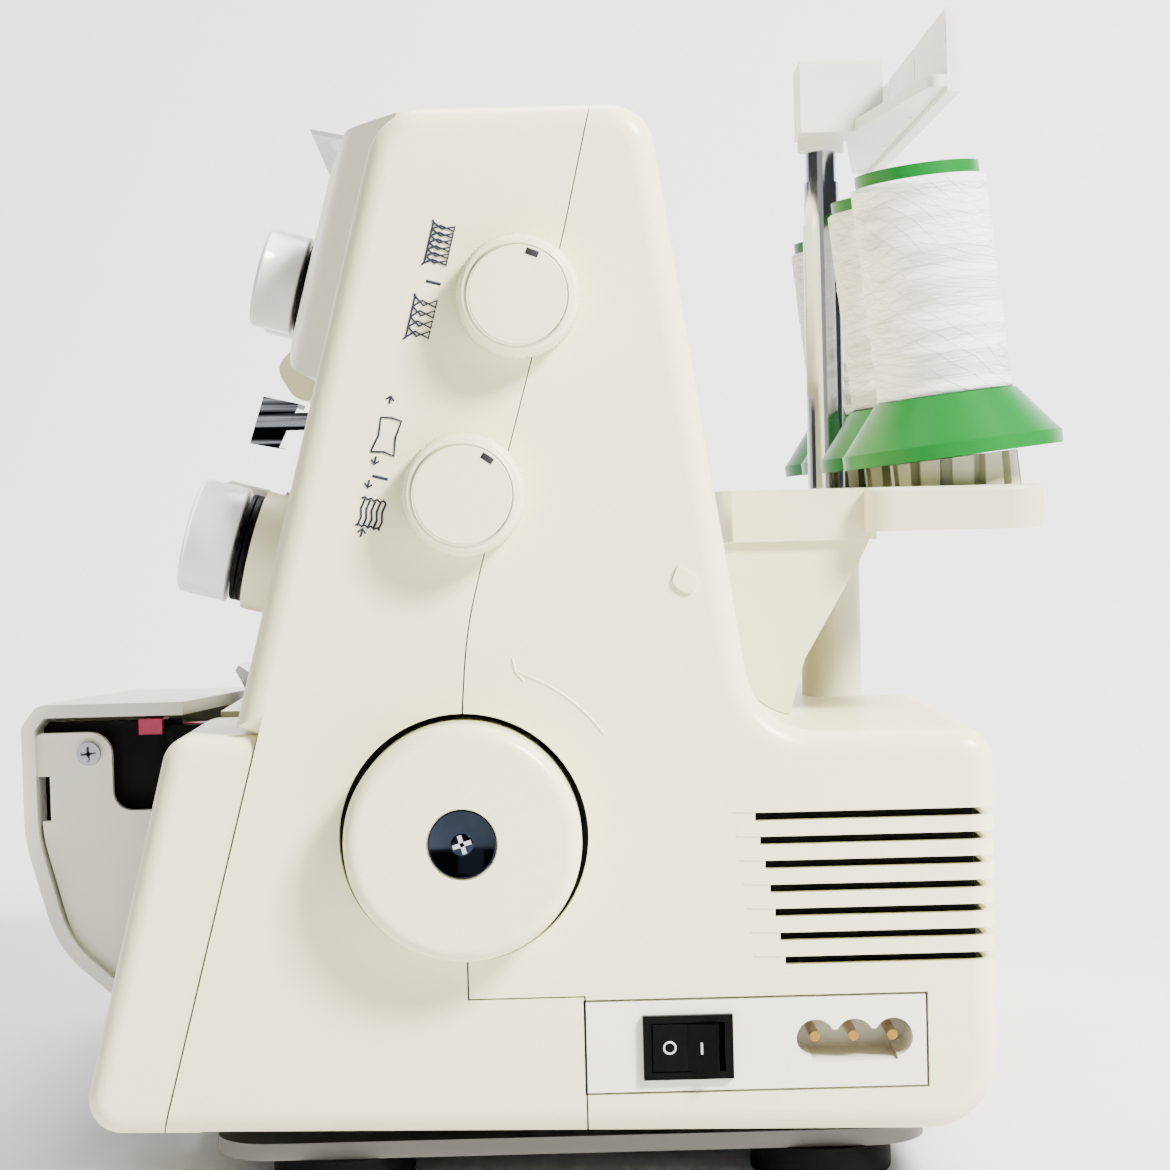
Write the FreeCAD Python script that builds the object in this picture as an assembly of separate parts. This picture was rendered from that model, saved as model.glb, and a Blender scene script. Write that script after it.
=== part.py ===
import FreeCAD, Part
import math
import os

# Compact four-thread serger. Millimetres: X to the handwheel end, Y to the rear, Z up.
# The origin lies on the table, under the middle of the footprint.

V = FreeCAD.Vector
X_AXIS = V(1, 0, 0)
Y_AXIS = V(0, 1, 0)
Z_AXIS = V(0, 0, 1)

# --- driving dimensions -------------------------------------------------------------
CASE_WIDTH = 275.0          # left end of the bed to the right side plane
RIGHT = 131.5               # right side plane of the casing
LEFT = RIGHT - CASE_WIDTH
WALL = 3.0                  # moulded wall of the casing
CASE_TOP = 254.0
CASE_BOTTOM = 12.0
CASE_REAR = 106.0
DECK_Z = 107.0              # motor deck behind the column
EDGE_ROUND = 6.0            # rounding round the right side plane
COLUMN_LEFT = 25.0
FRONT_SLOPE = 0.2585        # the front face leans back this far per mm of height
REAR_SLOPE = 0.150
COLUMN_TOE = (-71.0, 111.0) # lower front corner of the column
REAR_TOP_Y = 28.6
SEAM_BOTTOM = (-90.0, 16.0)
SEAM_TOP = (-65.3, 109.2)
PANEL_GAP = 0.4             # joint line between two covers
RUNNING = 0.05              # radial clearance of a running fit
FREE = 0.3                  # clearance between pieces that move past each other

ARM_LEFT = -66.0
ARM_RIGHT = 121.0
ARM_BOTTOM = 193.0
ARM_FORWARD = 18.0          # the arm stands this far in front of the column
HEAD_LEFT = -100.0

BED_FRONT = -88.0
BED_REAR = 98.0
BED_TOP = 104.5
PLATE_THICK = 2.5

PAN_BOTTOM = 8.0
FOOT_RADIUS = 17.0
FOOT_X = (109.5, -121.5)
FOOT_Y = (-49.8, 65.1)
BASE_TOP = 18.0             # top of the cast base plate

WHEEL_Y = -18.2
WHEEL_Z = 84.4
WHEEL_RADIUS = 27.4
WHEEL_HOLE = 29.0
WHEEL_FACE = 143.5
WHEEL_BACK = 121.0
SHAFT_RADIUS = 5.0
BUSH_WALL = 4.0

KNOB_RADIUS = 14.4
KNOB_HEIGHT = 9.0
KNOB_CAP_RADIUS = 11.3
KNOB_CENTRES = {"stitch_length": (-2.4, 209.3), "differential_feed": (-16.1, 164.1)}

DIAL_RADIUS = 14.1
DIAL_LENGTH = 12.0
DIAL_TILT = 15.2
DISC_RADIUS = 13.2
STUD_RADIUS = 2.5
# name: (x, y and z of the middle of the dial's front face)
DIALS = {
    "left_needle": (-46.0, -77.8, 228.2),
    "right_needle": (-12.0, -77.8, 228.2),
    "upper_looper": (55.0, -84.3, 156.3),
    "lower_looper": (96.5, -84.3, 156.3),
}

PANEL = (9.2, 88.4, 24.0, 45.2)      # power panel: y from, y to, z from, z to
PANEL_THICK = 3.0
PANEL_MARGIN = 0.6          # dark joint round the panel
SWITCH = (32.8, 34.4)
BEZEL = (21.0, 15.0)
ROCKER = (16.4, 11.0)
ROCKER_TILT = 12.0
INLET = (71.7, 34.6)
INLET_WIDTH = 27.4
INLET_HEIGHT = 9.0
INLET_DEPTH = 14.0
PIN_PITCH = 9.1
PIN_RADIUS = 1.2

VENTS = 7
VENT_PITCH = 5.63
VENT_HEIGHT = 2.0
VENT_FIRST = (49.6, 87.6)
VENT_STEP = 1.05            # each slot starts this far behind the one above

POLE = (-14.5, 83.0)
POLE_RADII = (5.5, 5.0, 4.4)
POLE_TUBE = 0.8             # wall of the pole's tubes
POLE_TOPS = (239.4, 251.4, 264.2)
STAGE_LENGTH = 115.0
TRAY_Z = 163.6
TRAY_THICK = 10.8
TRAY_Y = (81.5, 126.2)
TRAY_HALF = 111.0
TRAY_EDGE = 1.4             # rounding round the top of the tray
TRAY_FACET = 2.6            # slanted lower edge at the back of the tray
CONE_PITCH = 57.4
CONES = 4
CONE_BASE = (106.4, 171.05)
CONE_TILT = 6.3
CONE_RIM = 27.9
CONE_HEIGHT = 73.2
PACKAGE_RADIUS = 17.3
CONE_BORE = 3.4
SPOOL_PIN = 2.6

NEEDLE_X = -45.0
NEEDLE_FOOT = V(NEEDLE_X, -71.0, 107.0)   # where the needle line meets the cloth
NEEDLE_LEAN = 14.6
BAR_RADIUS = 3.2
NEEDLE_SPREAD = 5.0
PRESSER_BACK = 8.0
PRESSER_LEFT = 14.0
ARM_SHAFT = (0.0, 214.0)
ARM_SHAFT_RADIUS = 4.0
LEVER_REACH = 37.9

MOTOR = (62.0, 58.0)
MOTOR_RADIUS = 25.0
MOTOR_SHAFT = 3.0
MOTOR_PULLEY = 8.0
WHEEL_PULLEY = 24.0
PULLEY_X = (108.0, 118.0)
BELT_THICK = 2.0

FRAME_WALLS = ((88.0, 98.0), (30.0, 38.0))
LEFT_WALL = (-72.0, -64.0)

COVER_LEFT = -112.0
COVER_RIGHT = 66.5
COVER_WALL = 3.4
COVER_FALL = 0.05           # the cover's top falls this far per mm towards the left
HINGE = (-106.0, 26.0)
HINGE_RADIUS = 2.5
CORNER_LEFT = 74.5

LIFTER = (-8.0, 176.0)


# --- general shapes -----------------------------------------------------------------
def box(x, y, z):
    """A block between the two values of each pair."""
    size = (x[1] - x[0], y[1] - y[0], z[1] - z[0])
    return Part.makeBox(*size, V(x[0], y[0], z[0]))


def rod(start, end, radius):
    return Part.makeCylinder(radius, (end - start).Length, start, end - start)


def pipe(start, end, radius, bore):
    return rod(start, end, radius).cut(rod(start, end, bore))


def along_x(x, centre, radius):
    return rod(V(x[0], *centre), V(x[1], *centre), radius)


def upright(centre, z, radius):
    return rod(V(*centre, z[0]), V(*centre, z[1]), radius)


def join(shapes):
    result = shapes[0]
    for shape in shapes[1:]:
        result = result.fuse(shape)
    return result.removeSplitter()


def drill(shape, tools):
    for tool in tools:
        shape = shape.cut(tool)
    return shape


def corner(before, point, after):
    """Tangent points and middle of the arc that rounds one corner of an outline."""
    here = V(point[0], point[1], 0)
    if len(point) < 3:
        return here, here, here
    first = (V(before[0], before[1], 0) - here).normalize()
    second = (V(after[0], after[1], 0) - here).normalize()
    half = first.getAngle(second) / 2
    middle = (first + second).normalize()
    start = here + first * (point[2] / math.tan(half))
    end = here + second * (point[2] / math.tan(half))
    return start, here + middle * (point[2] / math.sin(half) - point[2]), end


def outline(points, place):
    """A closed wire through the points, each rounded by its own third value."""
    count = len(points)
    corners = []
    for i in range(count):
        corners.append(corner(points[i - 1], points[i], points[(i + 1) % count]))
    edges = []
    for i in range(count):
        start, middle, end = corners[i]
        if (end - start).Length > 1e-6:
            edges.append(Part.Arc(place(start), place(middle), place(end)).toShape())
        following = corners[(i + 1) % count][0]
        if (following - end).Length > 1e-6:
            edges.append(Part.LineSegment(place(end), place(following)).toShape())
    return Part.Wire(edges)


def prism(points, x):
    """A (y, z) outline drawn out along X."""
    wire = outline(points, lambda p: V(x[0], p.x, p.y))
    return Part.Face(wire).extrude(V(x[1] - x[0], 0, 0))


def slab(points, z):
    """An (x, y) outline drawn out along Z."""
    wire = outline(points, lambda p: V(p.x, p.y, z[0]))
    return Part.Face(wire).extrude(V(0, 0, z[1] - z[0]))


def inset(points, depth):
    """The same outline, moved in by a wall."""
    count = len(points)
    area = 0.0
    for i in range(count):
        here, after = points[i], points[(i + 1) % count]
        area += here[0] * after[1] - after[0] * here[1]
    turn = 1 if area > 0 else -1
    result = []
    for i in range(count):
        before, here, after = points[i - 1], points[i], points[(i + 1) % count]
        first = V(here[0] - before[0], here[1] - before[1], 0).normalize()
        second = V(after[0] - here[0], after[1] - here[1], 0).normalize()
        in_first = V(-first.y, first.x, 0) * turn
        in_second = V(-second.y, second.x, 0) * turn
        bend = first.cross(second).z
        shift = (in_first + in_second) * (depth / (1 + in_first.dot(in_second)))
        moved = (here[0] + shift.x, here[1] + shift.y)
        if len(here) > 2:
            grown = -depth if bend * turn > 0 else depth
            if here[2] + grown > 0.2:
                moved += (here[2] + grown,)
        result.append(moved)
    return result


def round_end(solid, x, radius, keep=lambda edge: True):
    """Round the edges that lie in the plane at x."""
    edges = []
    for edge in solid.Edges:
        limits = edge.BoundBox
        flat = abs(limits.XMin - x) < 1e-4 and abs(limits.XMax - x) < 1e-4
        if flat and keep(edge):
            edges.append(edge)
    return solid.makeFillet(radius, edges)


def leaned(shape):
    """Tip a shape back about the point where the needle meets the cloth."""
    tipped = shape.copy()
    tipped.rotate(NEEDLE_FOOT, X_AXIS, -NEEDLE_LEAN)
    return tipped


def front_at(z):
    """Front face of the column at a height."""
    return COLUMN_TOE[0] + FRONT_SLOPE * (z - COLUMN_TOE[1])


def rear_at(z):
    """Rear face of the column at a height."""
    return REAR_TOP_Y + REAR_SLOPE * (CASE_TOP - z)


# --- casing -------------------------------------------------------------------------
def column_outline():
    return [SEAM_BOTTOM, SEAM_TOP, COLUMN_TOE, (front_at(CASE_TOP), CASE_TOP, 14.0),
            (REAR_TOP_Y, CASE_TOP, 11.0), (rear_at(DECK_Z), DECK_Z, 17.0),
            (CASE_REAR, DECK_Z, 8.0), (CASE_REAR - 0.5, CASE_BOTTOM, 17.0)]


def arm_outline():
    return [(front_at(ARM_BOTTOM) - ARM_FORWARD, ARM_BOTTOM, 14.0),
            (front_at(CASE_TOP) - ARM_FORWARD, CASE_TOP, 13.0),
            (REAR_TOP_Y, CASE_TOP, 11.0), (rear_at(ARM_BOTTOM), ARM_BOTTOM, 4.0)]


def bed_outline():
    return [(BED_FRONT, CASE_BOTTOM + 2, 4.0), (BED_FRONT, BED_TOP, 3.0),
            (BED_REAR, BED_TOP, 12.0), (BED_REAR, CASE_BOTTOM + 1, 14.0)]


def front_region(gap=0.0):
    """Everything in front of the seam that parts the front cover from the rear cover."""
    seam = [(15.2, 254.2), (7.8, 222.3, 200.0), (-5.7, 174.2), (-16.5, 132.8, 100.0), (-18.1, 113.3, 100.0),
            (-18.3, 46.4), (8.8, 46.4), (8.8, 0.0)]
    points = [(-200.0, 0.0), (-200.0, 300.0), (26.0, 300.0)]
    points += [(y + gap, z + gap, *bend) for y, z, *bend in seam[:-1]] + [(8.8 + gap, 0.0)]
    return prism(points, (LEFT - 50, RIGHT + 50))


def column_shell():
    def outside_seam(edge):
        centre = edge.CenterOfMass
        return centre.z > 100 or centre.y > 40
    outer = prism(column_outline(), (COLUMN_LEFT, RIGHT))
    outer = round_end(outer, RIGHT, EDGE_ROUND, outside_seam)
    inner = prism(inset(column_outline(), WALL), (COLUMN_LEFT + WALL, RIGHT - WALL))
    below = box((COLUMN_LEFT + WALL, RIGHT - WALL), (-82, 92), (0, CASE_BOTTOM + 9))
    return outer, outer.cut(inner).cut(below)


def arm_block(shrink=0.0):
    """The arm as a solid, or its inside when shrunk by the wall."""
    points = inset(arm_outline(), shrink) if shrink else arm_outline()
    side = prism(points, (ARM_LEFT, ARM_RIGHT))
    face = front_at(0) - ARM_FORWARD
    plan = [(ARM_LEFT, face), (40.0, face, 60.0), (ARM_RIGHT - 26, face + 8, 25.0),
            (ARM_RIGHT, face + ARM_FORWARD + 4), (ARM_RIGHT, 120.0), (ARM_LEFT, 120.0)]
    if shrink:
        plan = inset(plan, shrink)
        plan[0] = (ARM_LEFT, plan[0][1])
        plan[-1] = (ARM_LEFT, plan[-1][1])
    wire = outline(plan, lambda p: V(p.x, p.y, 0))
    height = CASE_TOP + 10
    return side.common(Part.Face(wire).extrude(V(0, FRONT_SLOPE * height, height)))


def side_openings():
    """Holes through the right side plane: handwheel, knob stems, panel and vents."""
    through = (RIGHT - WALL - 6, RIGHT + 5)
    holes = [along_x(through, (WHEEL_Y, WHEEL_Z), WHEEL_HOLE)]
    for centre in KNOB_CENTRES.values():
        holes.append(along_x(through, centre, 3.3))
    edge = PANEL_MARGIN
    holes.append(box(through, (PANEL[0] - edge, PANEL[1] + edge), (PANEL[2] - edge, PANEL[3] + edge)))
    for i in range(VENTS):
        start = VENT_FIRST[0] + VENT_STEP * i
        middle = VENT_FIRST[1] - VENT_PITCH * i
        height = (middle - VENT_HEIGHT / 2, middle + VENT_HEIGHT / 2)
        holes.append(box((RIGHT - 14, RIGHT + 5), (start, CASE_REAR + 4), height))
    return holes


def column_windows():
    """Ways through the column's left wall for the shafts and the frame."""
    x = (COLUMN_LEFT - 1, COLUMN_LEFT + WALL + 1)
    arm_inside = prism(inset(arm_outline(), WALL), x)
    bed = box(x, (-58, BED_REAR - 8), (0, BED_TOP - WALL))
    cavity = box(x, (-84, -58), (BASE_TOP + 12, BED_TOP - WALL))
    base = box(x, (-84, -57), (0, BASE_TOP + 0.5))
    return [arm_inside, bed, cavity, base]


def dial_axis():
    tilt = math.radians(DIAL_TILT)
    return V(0, -math.cos(tilt), math.sin(tilt))


def dial_stem_holes():
    holes = []
    for x, y, z in DIALS.values():
        face = V(x, y, z)
        holes.append(rod(face - dial_axis() * 42, face, STUD_RADIUS + 0.1))
    return holes


def dial_boss(name):
    """Raised ring on the cover behind one tension dial."""
    face = V(*DIALS[name])
    start = face - dial_axis() * (DIAL_LENGTH + 4.2)
    return rod(start - dial_axis() * 14, start, DIAL_RADIUS + 0.6)


def finger_rail():
    """Two lugs and a round rail for the stitch finger lever."""
    lugs = [box((x, x + 3), (-75, SEAM_TOP[0] + 0.5), (102, 107)) for x in (40.0, 64.0)]
    return join(lugs + [along_x((42, 65), (-72.5, 104.5), 1.5)])


def front_cover():
    outer, shell = column_shell()
    shell = shell.common(front_region())
    bosses = [dial_boss(name).cut(outer) for name in ("upper_looper", "lower_looper")]
    shell = join([shell, finger_rail()] + bosses)
    return drill(shell, side_openings() + column_windows() + dial_stem_holes())


def rear_cover():
    outer, shell = column_shell()
    arm = arm_block().cut(arm_block(WALL)).cut(outer)
    back = join([shell, arm.common(box((ARM_LEFT, COLUMN_LEFT), (-90, 90), (150, 300)))])
    back = back.cut(front_region(PANEL_GAP))
    tab = prism([(33.0, 146.6), (31.2, 142.4, 2.2), (36.2, 139.2, 2.2), (38.0, 143.0, 2.0)],
                (RIGHT - 1, RIGHT + 0.8))
    return drill(join([back, tab]), side_openings() + column_windows() + bracket_slots())


def bracket_slots():
    return [box((60, 86), (rear_at(z) - 5, rear_at(z) + 1), (z, z + 5)) for z in (124.0, 142.0)]


def head_nose(shrink=0.0):
    """Bulge under the needle dials, over the needle bar."""
    points = [(-50.0, 210.0), (-70.0, 208.5, 3.0), (-76.0, 203.0, 5.0), (-70.0, 193.0, 6.0),
              (-45.0, 193.0)]
    if shrink:
        points = inset(points, shrink)
    return prism(points, (ARM_LEFT + shrink, -24.0 - shrink))


def arm_cover():
    shell = join([arm_block(), head_nose()]).cut(arm_block(WALL)).cut(head_nose(WALL))
    shell = shell.cut(column_clear()).common(front_region())
    needle_way = box((-64.5, -36), (-73, -22), (ARM_BOTTOM - 2, ARM_BOTTOM + 9))
    lifter_way = box((-65, -53), (-21, 6), (ARM_BOTTOM - 2, ARM_BOTTOM + 5))
    bosses = []
    for name in ("left_needle", "right_needle"):
        bosses.append(dial_boss(name).cut(arm_block()).cut(head_nose(-0.01)))
    shell = join([shell] + bosses)
    return drill(shell, [needle_way, lifter_way] + dial_stem_holes())


def head_cover():
    points = arm_outline()
    outer = round_end(prism(points, (HEAD_LEFT, ARM_LEFT - PANEL_GAP)), HEAD_LEFT, 9.0)
    inner = prism(inset(points, WALL + 0.5), (HEAD_LEFT + WALL + 0.5, ARM_LEFT))
    return outer.cut(inner)


def bed_cover():
    x = (LEFT, COLUMN_LEFT - PANEL_GAP)
    outer = round_end(prism(bed_outline(), x), LEFT, 6.0)
    inner = prism(inset(bed_outline(), WALL), (x[0] + WALL, x[1] + 1))
    below = box((x[0] + WALL, x[1] + 1), (BED_FRONT + 6, BED_REAR - 8), (0, CASE_BOTTOM + 12))
    cavity = box((-118, x[1] + 1), (BED_FRONT - 1, -36), (BASE_TOP + 12, BED_TOP + 1))
    shell = drill(outer, [inner, below, cavity])
    lugs = []
    for lug in ((-118.0, -112.8), (18.0, 24.0)):
        lugs.append(box(lug, (HINGE[0] - 5, BED_FRONT + 1), (HINGE[1] - 5, HINGE[1] + 3.5)))
    shell = join([shell] + lugs)
    return shell.cut(along_x((-130, 30), HINGE, HINGE_RADIUS + RUNNING))


def cloth_plate():
    z = (BED_TOP, BED_TOP + PLATE_THICK)
    right = COLUMN_LEFT - PANEL_GAP
    plate = slab([(LEFT + 4, BED_FRONT, 8.0), (right, BED_FRONT), (right, 20), (LEFT + 4, 20, 8.0)], z)
    hole = box((-64.3, -19.7), (BED_FRONT - 1, -37.7), z)
    ledge = box((-67, -17), (BED_FRONT + 3, -36.5), (z[0] - 1.5, z[0]))
    ledge = ledge.cut(box((-61, -23), (BED_FRONT - 1, -41), (z[0] - 2, z[0])))
    return join([plate.cut(hole), ledge])


def needle_plate():
    z = (BED_TOP, BED_TOP + PLATE_THICK)
    plate = box((-64.0, -20.0), (BED_FRONT, -38.0), z)
    needles = box((-50, -40), (-77, -70), z)
    feed = box((-56, -35), (-68.5, -45), z)
    knives = box((-34.6, -20), (-86, -73.5), z)
    return drill(plate, [needles, feed, knives])


def front_corner_cover():
    points = [(SEAM_TOP[0] - PANEL_GAP, 109.3), (-86.9, 109.3, 7.0), (-110.2, 16.6, 8.0),
              (SEAM_BOTTOM[0] - PANEL_GAP, 16.1)]
    outer = round_end(prism(points, (CORNER_LEFT, RIGHT - 0.5)), RIGHT - 0.5, 5.0,
                      lambda edge: edge.CenterOfMass.y < -84 and edge.CenterOfMass.z > 17)
    inner = prism(inset(points, WALL), (CORNER_LEFT + WALL, RIGHT - WALL - 0.5))
    return outer.cut(inner)


def base_pan():
    left, right, front, rear = LEFT + 6, RIGHT - 8, -80.0, 90.0
    pan = slab([(left, front, 14.0), (right, front, 14.0), (right, rear, 14.0), (left, rear, 14.0)],
               (PAN_BOTTOM, CASE_BOTTOM))
    return drill(pan, [hole for hole in pan_screw_holes()])


PAN_SCREWS = [(x, y) for x in (-85.0, 82.0) for y in (-40.0, 40.0)]
SCREW_HEAD = 3.4
SCREW_SHANK = 1.8


def pan_screw_holes():
    holes = []
    for centre in PAN_SCREWS:
        holes.append(upright(centre, (PAN_BOTTOM, PAN_BOTTOM + 2.4), SCREW_HEAD + 0.3))
        holes.append(upright(centre, (PAN_BOTTOM, CASE_BOTTOM), SCREW_SHANK + 0.1))
    return holes


def case_screws():
    screws = []
    for centre in PAN_SCREWS:
        head = upright(centre, (PAN_BOTTOM + 0.4, PAN_BOTTOM + 2.4), SCREW_HEAD)
        shank = upright(centre, (PAN_BOTTOM + 2.4, CASE_BOTTOM + 4), SCREW_SHANK)
        screws.append(join([head, shank]))
    return Part.makeCompound(screws)


def rubber_feet():
    feet = []
    for x in FOOT_X:
        for y in FOOT_Y:
            foot = upright((x, y), (0, PAN_BOTTOM), FOOT_RADIUS)
            lower = [edge for edge in foot.Edges if abs(edge.BoundBox.ZMax) < 1e-4]
            foot = foot.makeFillet(1.0, lower)
            feet.append(foot)
    return Part.makeCompound(feet)


# --- frame and drive ----------------------------------------------------------------
def frame_wall(x):
    points = [(-58.0, BASE_TOP), (-58.0, 100.0), (-28.0, 238.0), (22.0, 238.0), (34.0, 100.0),
              (34.0, BASE_TOP)]
    return prism(points, x)


def head_block():
    """Bearing block of the needle bar and presser bar, tipped back with them."""
    y = NEEDLE_FOOT.y
    block = box((-62, -36), (y - 8, y + 20), (201, 238))
    return leaned(block)


def machine_frame():
    base = box((-104, 100), (-82, 80), (CASE_BOTTOM, BASE_TOP))
    beam = box((ARM_LEFT + 1, 98), (-33, 18), (226, 238))
    left = box(LEFT_WALL, (-40, 30), (BASE_TOP, 100))
    lug = box((-64, -61), (LIFTER[0] - 5, LIFTER[0] + 5), (LIFTER[1] - 5, 230))
    saddle = box((45, 84), (MOTOR[0] - 20, MOTOR[0] + 16), (BASE_TOP, MOTOR[1] - 12))
    feed_post = box((-52, -40), (-44, -35), (BASE_TOP, 95.7))
    upper_post = box((-15, -5), (-57, -50), (BASE_TOP, 64))
    lower_post = box((-85, -75), (-54.7, -48), (BASE_TOP, 58))
    knife_rod = upright((-26, -79), (BASE_TOP, 98), 3.0)
    studs = [rod(V(-10, -57, 58), V(-10, -69, 58), 3.0), rod(V(-80, -54.7, 52), V(-80, -63, 52), 3.0)]
    walls = [frame_wall(x) for x in FRAME_WALLS]
    frame = join([base, beam, left, lug, saddle, feed_post, upper_post, lower_post, knife_rod,
                  head_block()] + studs + walls)
    lever_way = box((-51, -39), (-85, -6), (200, 232))
    cuts = [lever_way, along_x((44, 85), MOTOR, MOTOR_RADIUS + 0.1)]
    cuts.append(along_x((-80, 99), (WHEEL_Y, WHEEL_Z), SHAFT_RADIUS + BUSH_WALL))
    cuts.append(along_x((29, 99), ARM_SHAFT, ARM_SHAFT_RADIUS + BUSH_WALL))
    cuts.append(rod(bar_point(80), bar_point(150), BAR_RADIUS + RUNNING))
    cuts.append(rod(presser_point(80), presser_point(150), 3.0 + RUNNING))
    cuts.append(along_x((-66, -60), LIFTER, 3.0 + RUNNING))
    for centre in PAN_SCREWS:
        cuts.append(upright(centre, (CASE_BOTTOM, CASE_BOTTOM + 4), SCREW_SHANK))
    return drill(frame, cuts)


def bushes():
    parts = []
    for x in FRAME_WALLS + (LEFT_WALL,):
        start, end = V(x[0], WHEEL_Y, WHEEL_Z), V(x[1], WHEEL_Y, WHEEL_Z)
        parts.append(pipe(start, end, SHAFT_RADIUS + BUSH_WALL, SHAFT_RADIUS + RUNNING))
    for x in FRAME_WALLS:
        start, end = V(x[0], *ARM_SHAFT), V(x[1], *ARM_SHAFT)
        parts.append(pipe(start, end, ARM_SHAFT_RADIUS + BUSH_WALL, ARM_SHAFT_RADIUS + RUNNING))
    return Part.makeCompound(parts)


def main_shaft():
    shaft = along_x((-76, WHEEL_FACE - 6), (WHEEL_Y, WHEEL_Z), SHAFT_RADIUS)
    cams = [along_x((x, x + 7), (WHEEL_Y + dy, WHEEL_Z + dz), 9.5)
            for x, dy, dz in ((-55, 3, 0), (-30, -3, 0), (-5, 0, 3), (50, 0, -3))]
    return join([shaft] + cams)


def handwheel():
    """Handwheel and belt pulley in one moulding."""
    wheel = along_x((WHEEL_BACK, WHEEL_FACE), (WHEEL_Y, WHEEL_Z), WHEEL_RADIUS)
    rim = [edge for edge in wheel.Edges if abs(edge.BoundBox.XMin - WHEEL_FACE) < 1e-3]
    wheel = wheel.makeFillet(3.5, rim)
    hub = along_x((PULLEY_X[1], WHEEL_BACK), (WHEEL_Y, WHEEL_Z), 14.0)
    pulley = along_x(PULLEY_X, (WHEEL_Y, WHEEL_Z), WHEEL_PULLEY)
    recess = along_x((WHEEL_FACE - 1.2, WHEEL_FACE + 1), (WHEEL_Y, WHEEL_Z), 8.2)
    bore = along_x((PULLEY_X[0] - 1, WHEEL_FACE - 6), (WHEEL_Y, WHEEL_Z), SHAFT_RADIUS)
    screw = along_x((WHEEL_FACE - 7, WHEEL_FACE), (WHEEL_Y, WHEEL_Z), 2.0)
    return drill(join([wheel, hub, pulley]), [recess, bore, screw])


def handwheel_screw():
    head = along_x((WHEEL_FACE - 1.2, WHEEL_FACE - 0.3), (WHEEL_Y, WHEEL_Z), 8.1)
    button = along_x((WHEEL_FACE - 0.3, WHEEL_FACE), (WHEEL_Y, WHEEL_Z), 4.0)
    shank = along_x((WHEEL_FACE - 6, WHEEL_FACE - 1.2), (WHEEL_Y, WHEEL_Z), 2.0)
    slots = [box((WHEEL_FACE - 1, WHEEL_FACE + 1), (WHEEL_Y - a, WHEEL_Y + a), (WHEEL_Z - b, WHEEL_Z + b))
             for a, b in ((2.4, 0.5), (0.5, 2.4))]
    return drill(join([head, button, shank]), slots)


def motor_body():
    body = along_x((36, 92), MOTOR, MOTOR_RADIUS)
    nose = along_x((92, 97), MOTOR, 12.0)
    return join([body, nose]).cut(along_x((30, 100), MOTOR, MOTOR_SHAFT + RUNNING))


def motor_rotor():
    return join([along_x((40, PULLEY_X[1] + 1), MOTOR, MOTOR_SHAFT), along_x(PULLEY_X, MOTOR, MOTOR_PULLEY)])


def belt_loop(grow, x):
    """Outline of a band round both pulleys, as a solid."""
    first, second = V(x[0], WHEEL_Y, WHEEL_Z), V(x[0], *MOTOR)
    r1, r2 = WHEEL_PULLEY + grow, MOTOR_PULLEY + grow
    line = second - first
    across = V(0, -line.z, line.y).normalize()
    lean = (r1 - r2) / line.Length
    forward = line * (1 / line.Length)
    upper = forward * lean + across * math.sqrt(1 - lean * lean)
    lower = forward * lean - across * math.sqrt(1 - lean * lean)
    a, b = first + upper * r1, second + upper * r2
    c, d = second + lower * r2, first + lower * r1
    edges = [Part.LineSegment(a, b).toShape(), Part.Arc(b, second + forward * r2, c).toShape(),
             Part.LineSegment(c, d).toShape(), Part.Arc(d, first - forward * r1, a).toShape()]
    return Part.Face(Part.Wire(edges)).extrude(V(x[1] - x[0], 0, 0))


def drive_belt():
    x = (PULLEY_X[0] + 1.5, PULLEY_X[1] - 1.5)
    return belt_loop(FREE + BELT_THICK, x).cut(belt_loop(FREE, x))


# --- needle bar, presser bar, loopers and knives --------------------------------------
def bar_point(s):
    """Point of the needle bar's line, s mm above the cloth along the bar."""
    lean = math.radians(NEEDLE_LEAN)
    return NEEDLE_FOOT + V(0, math.sin(lean), math.cos(lean)) * s


def presser_point(s):
    return bar_point(s) + V(-PRESSER_LEFT, PRESSER_BACK, 0)


def needle_bar():
    return rod(bar_point(34), bar_point(133), BAR_RADIUS)


def needle_clamp():
    clamp = rod(bar_point(30), bar_point(41), 5.6).cut(rod(bar_point(34), bar_point(42), BAR_RADIUS))
    for side in (-1, 1):
        shift = V(side * NEEDLE_SPREAD / 2, 0, 0)
        clamp = clamp.cut(rod(bar_point(29) + shift, bar_point(33.5) + shift, 0.8))
    return clamp


def needles():
    pair = []
    for side in (-1, 1):
        shift = V(side * NEEDLE_SPREAD / 2, 0, 0)
        shank = rod(bar_point(22) + shift, bar_point(33.5) + shift, 0.8)
        blade = rod(bar_point(5) + shift, bar_point(22) + shift, 0.5)
        tip = Part.makeCone(0.05, 0.5, 3, bar_point(2) + shift, bar_point(5) - bar_point(2))
        pair.append(join([shank, blade, tip]))
    return Part.makeCompound(pair)


def arm_rocker():
    shaft = along_x((-50, 100), ARM_SHAFT, ARM_SHAFT_RADIUS)
    lever = box((-49, -41), (ARM_SHAFT[0] - LEVER_REACH, ARM_SHAFT[0]), (ARM_SHAFT[1] - 3.5, ARM_SHAFT[1] + 3.5))
    lever.rotate(V(0, *ARM_SHAFT), X_AXIS, -15.5)
    hub = along_x((-49, -41), ARM_SHAFT, 7.0)
    return join([shaft, lever, hub])


def presser_bar():
    return rod(presser_point(14), presser_point(130), 3.0)


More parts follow.
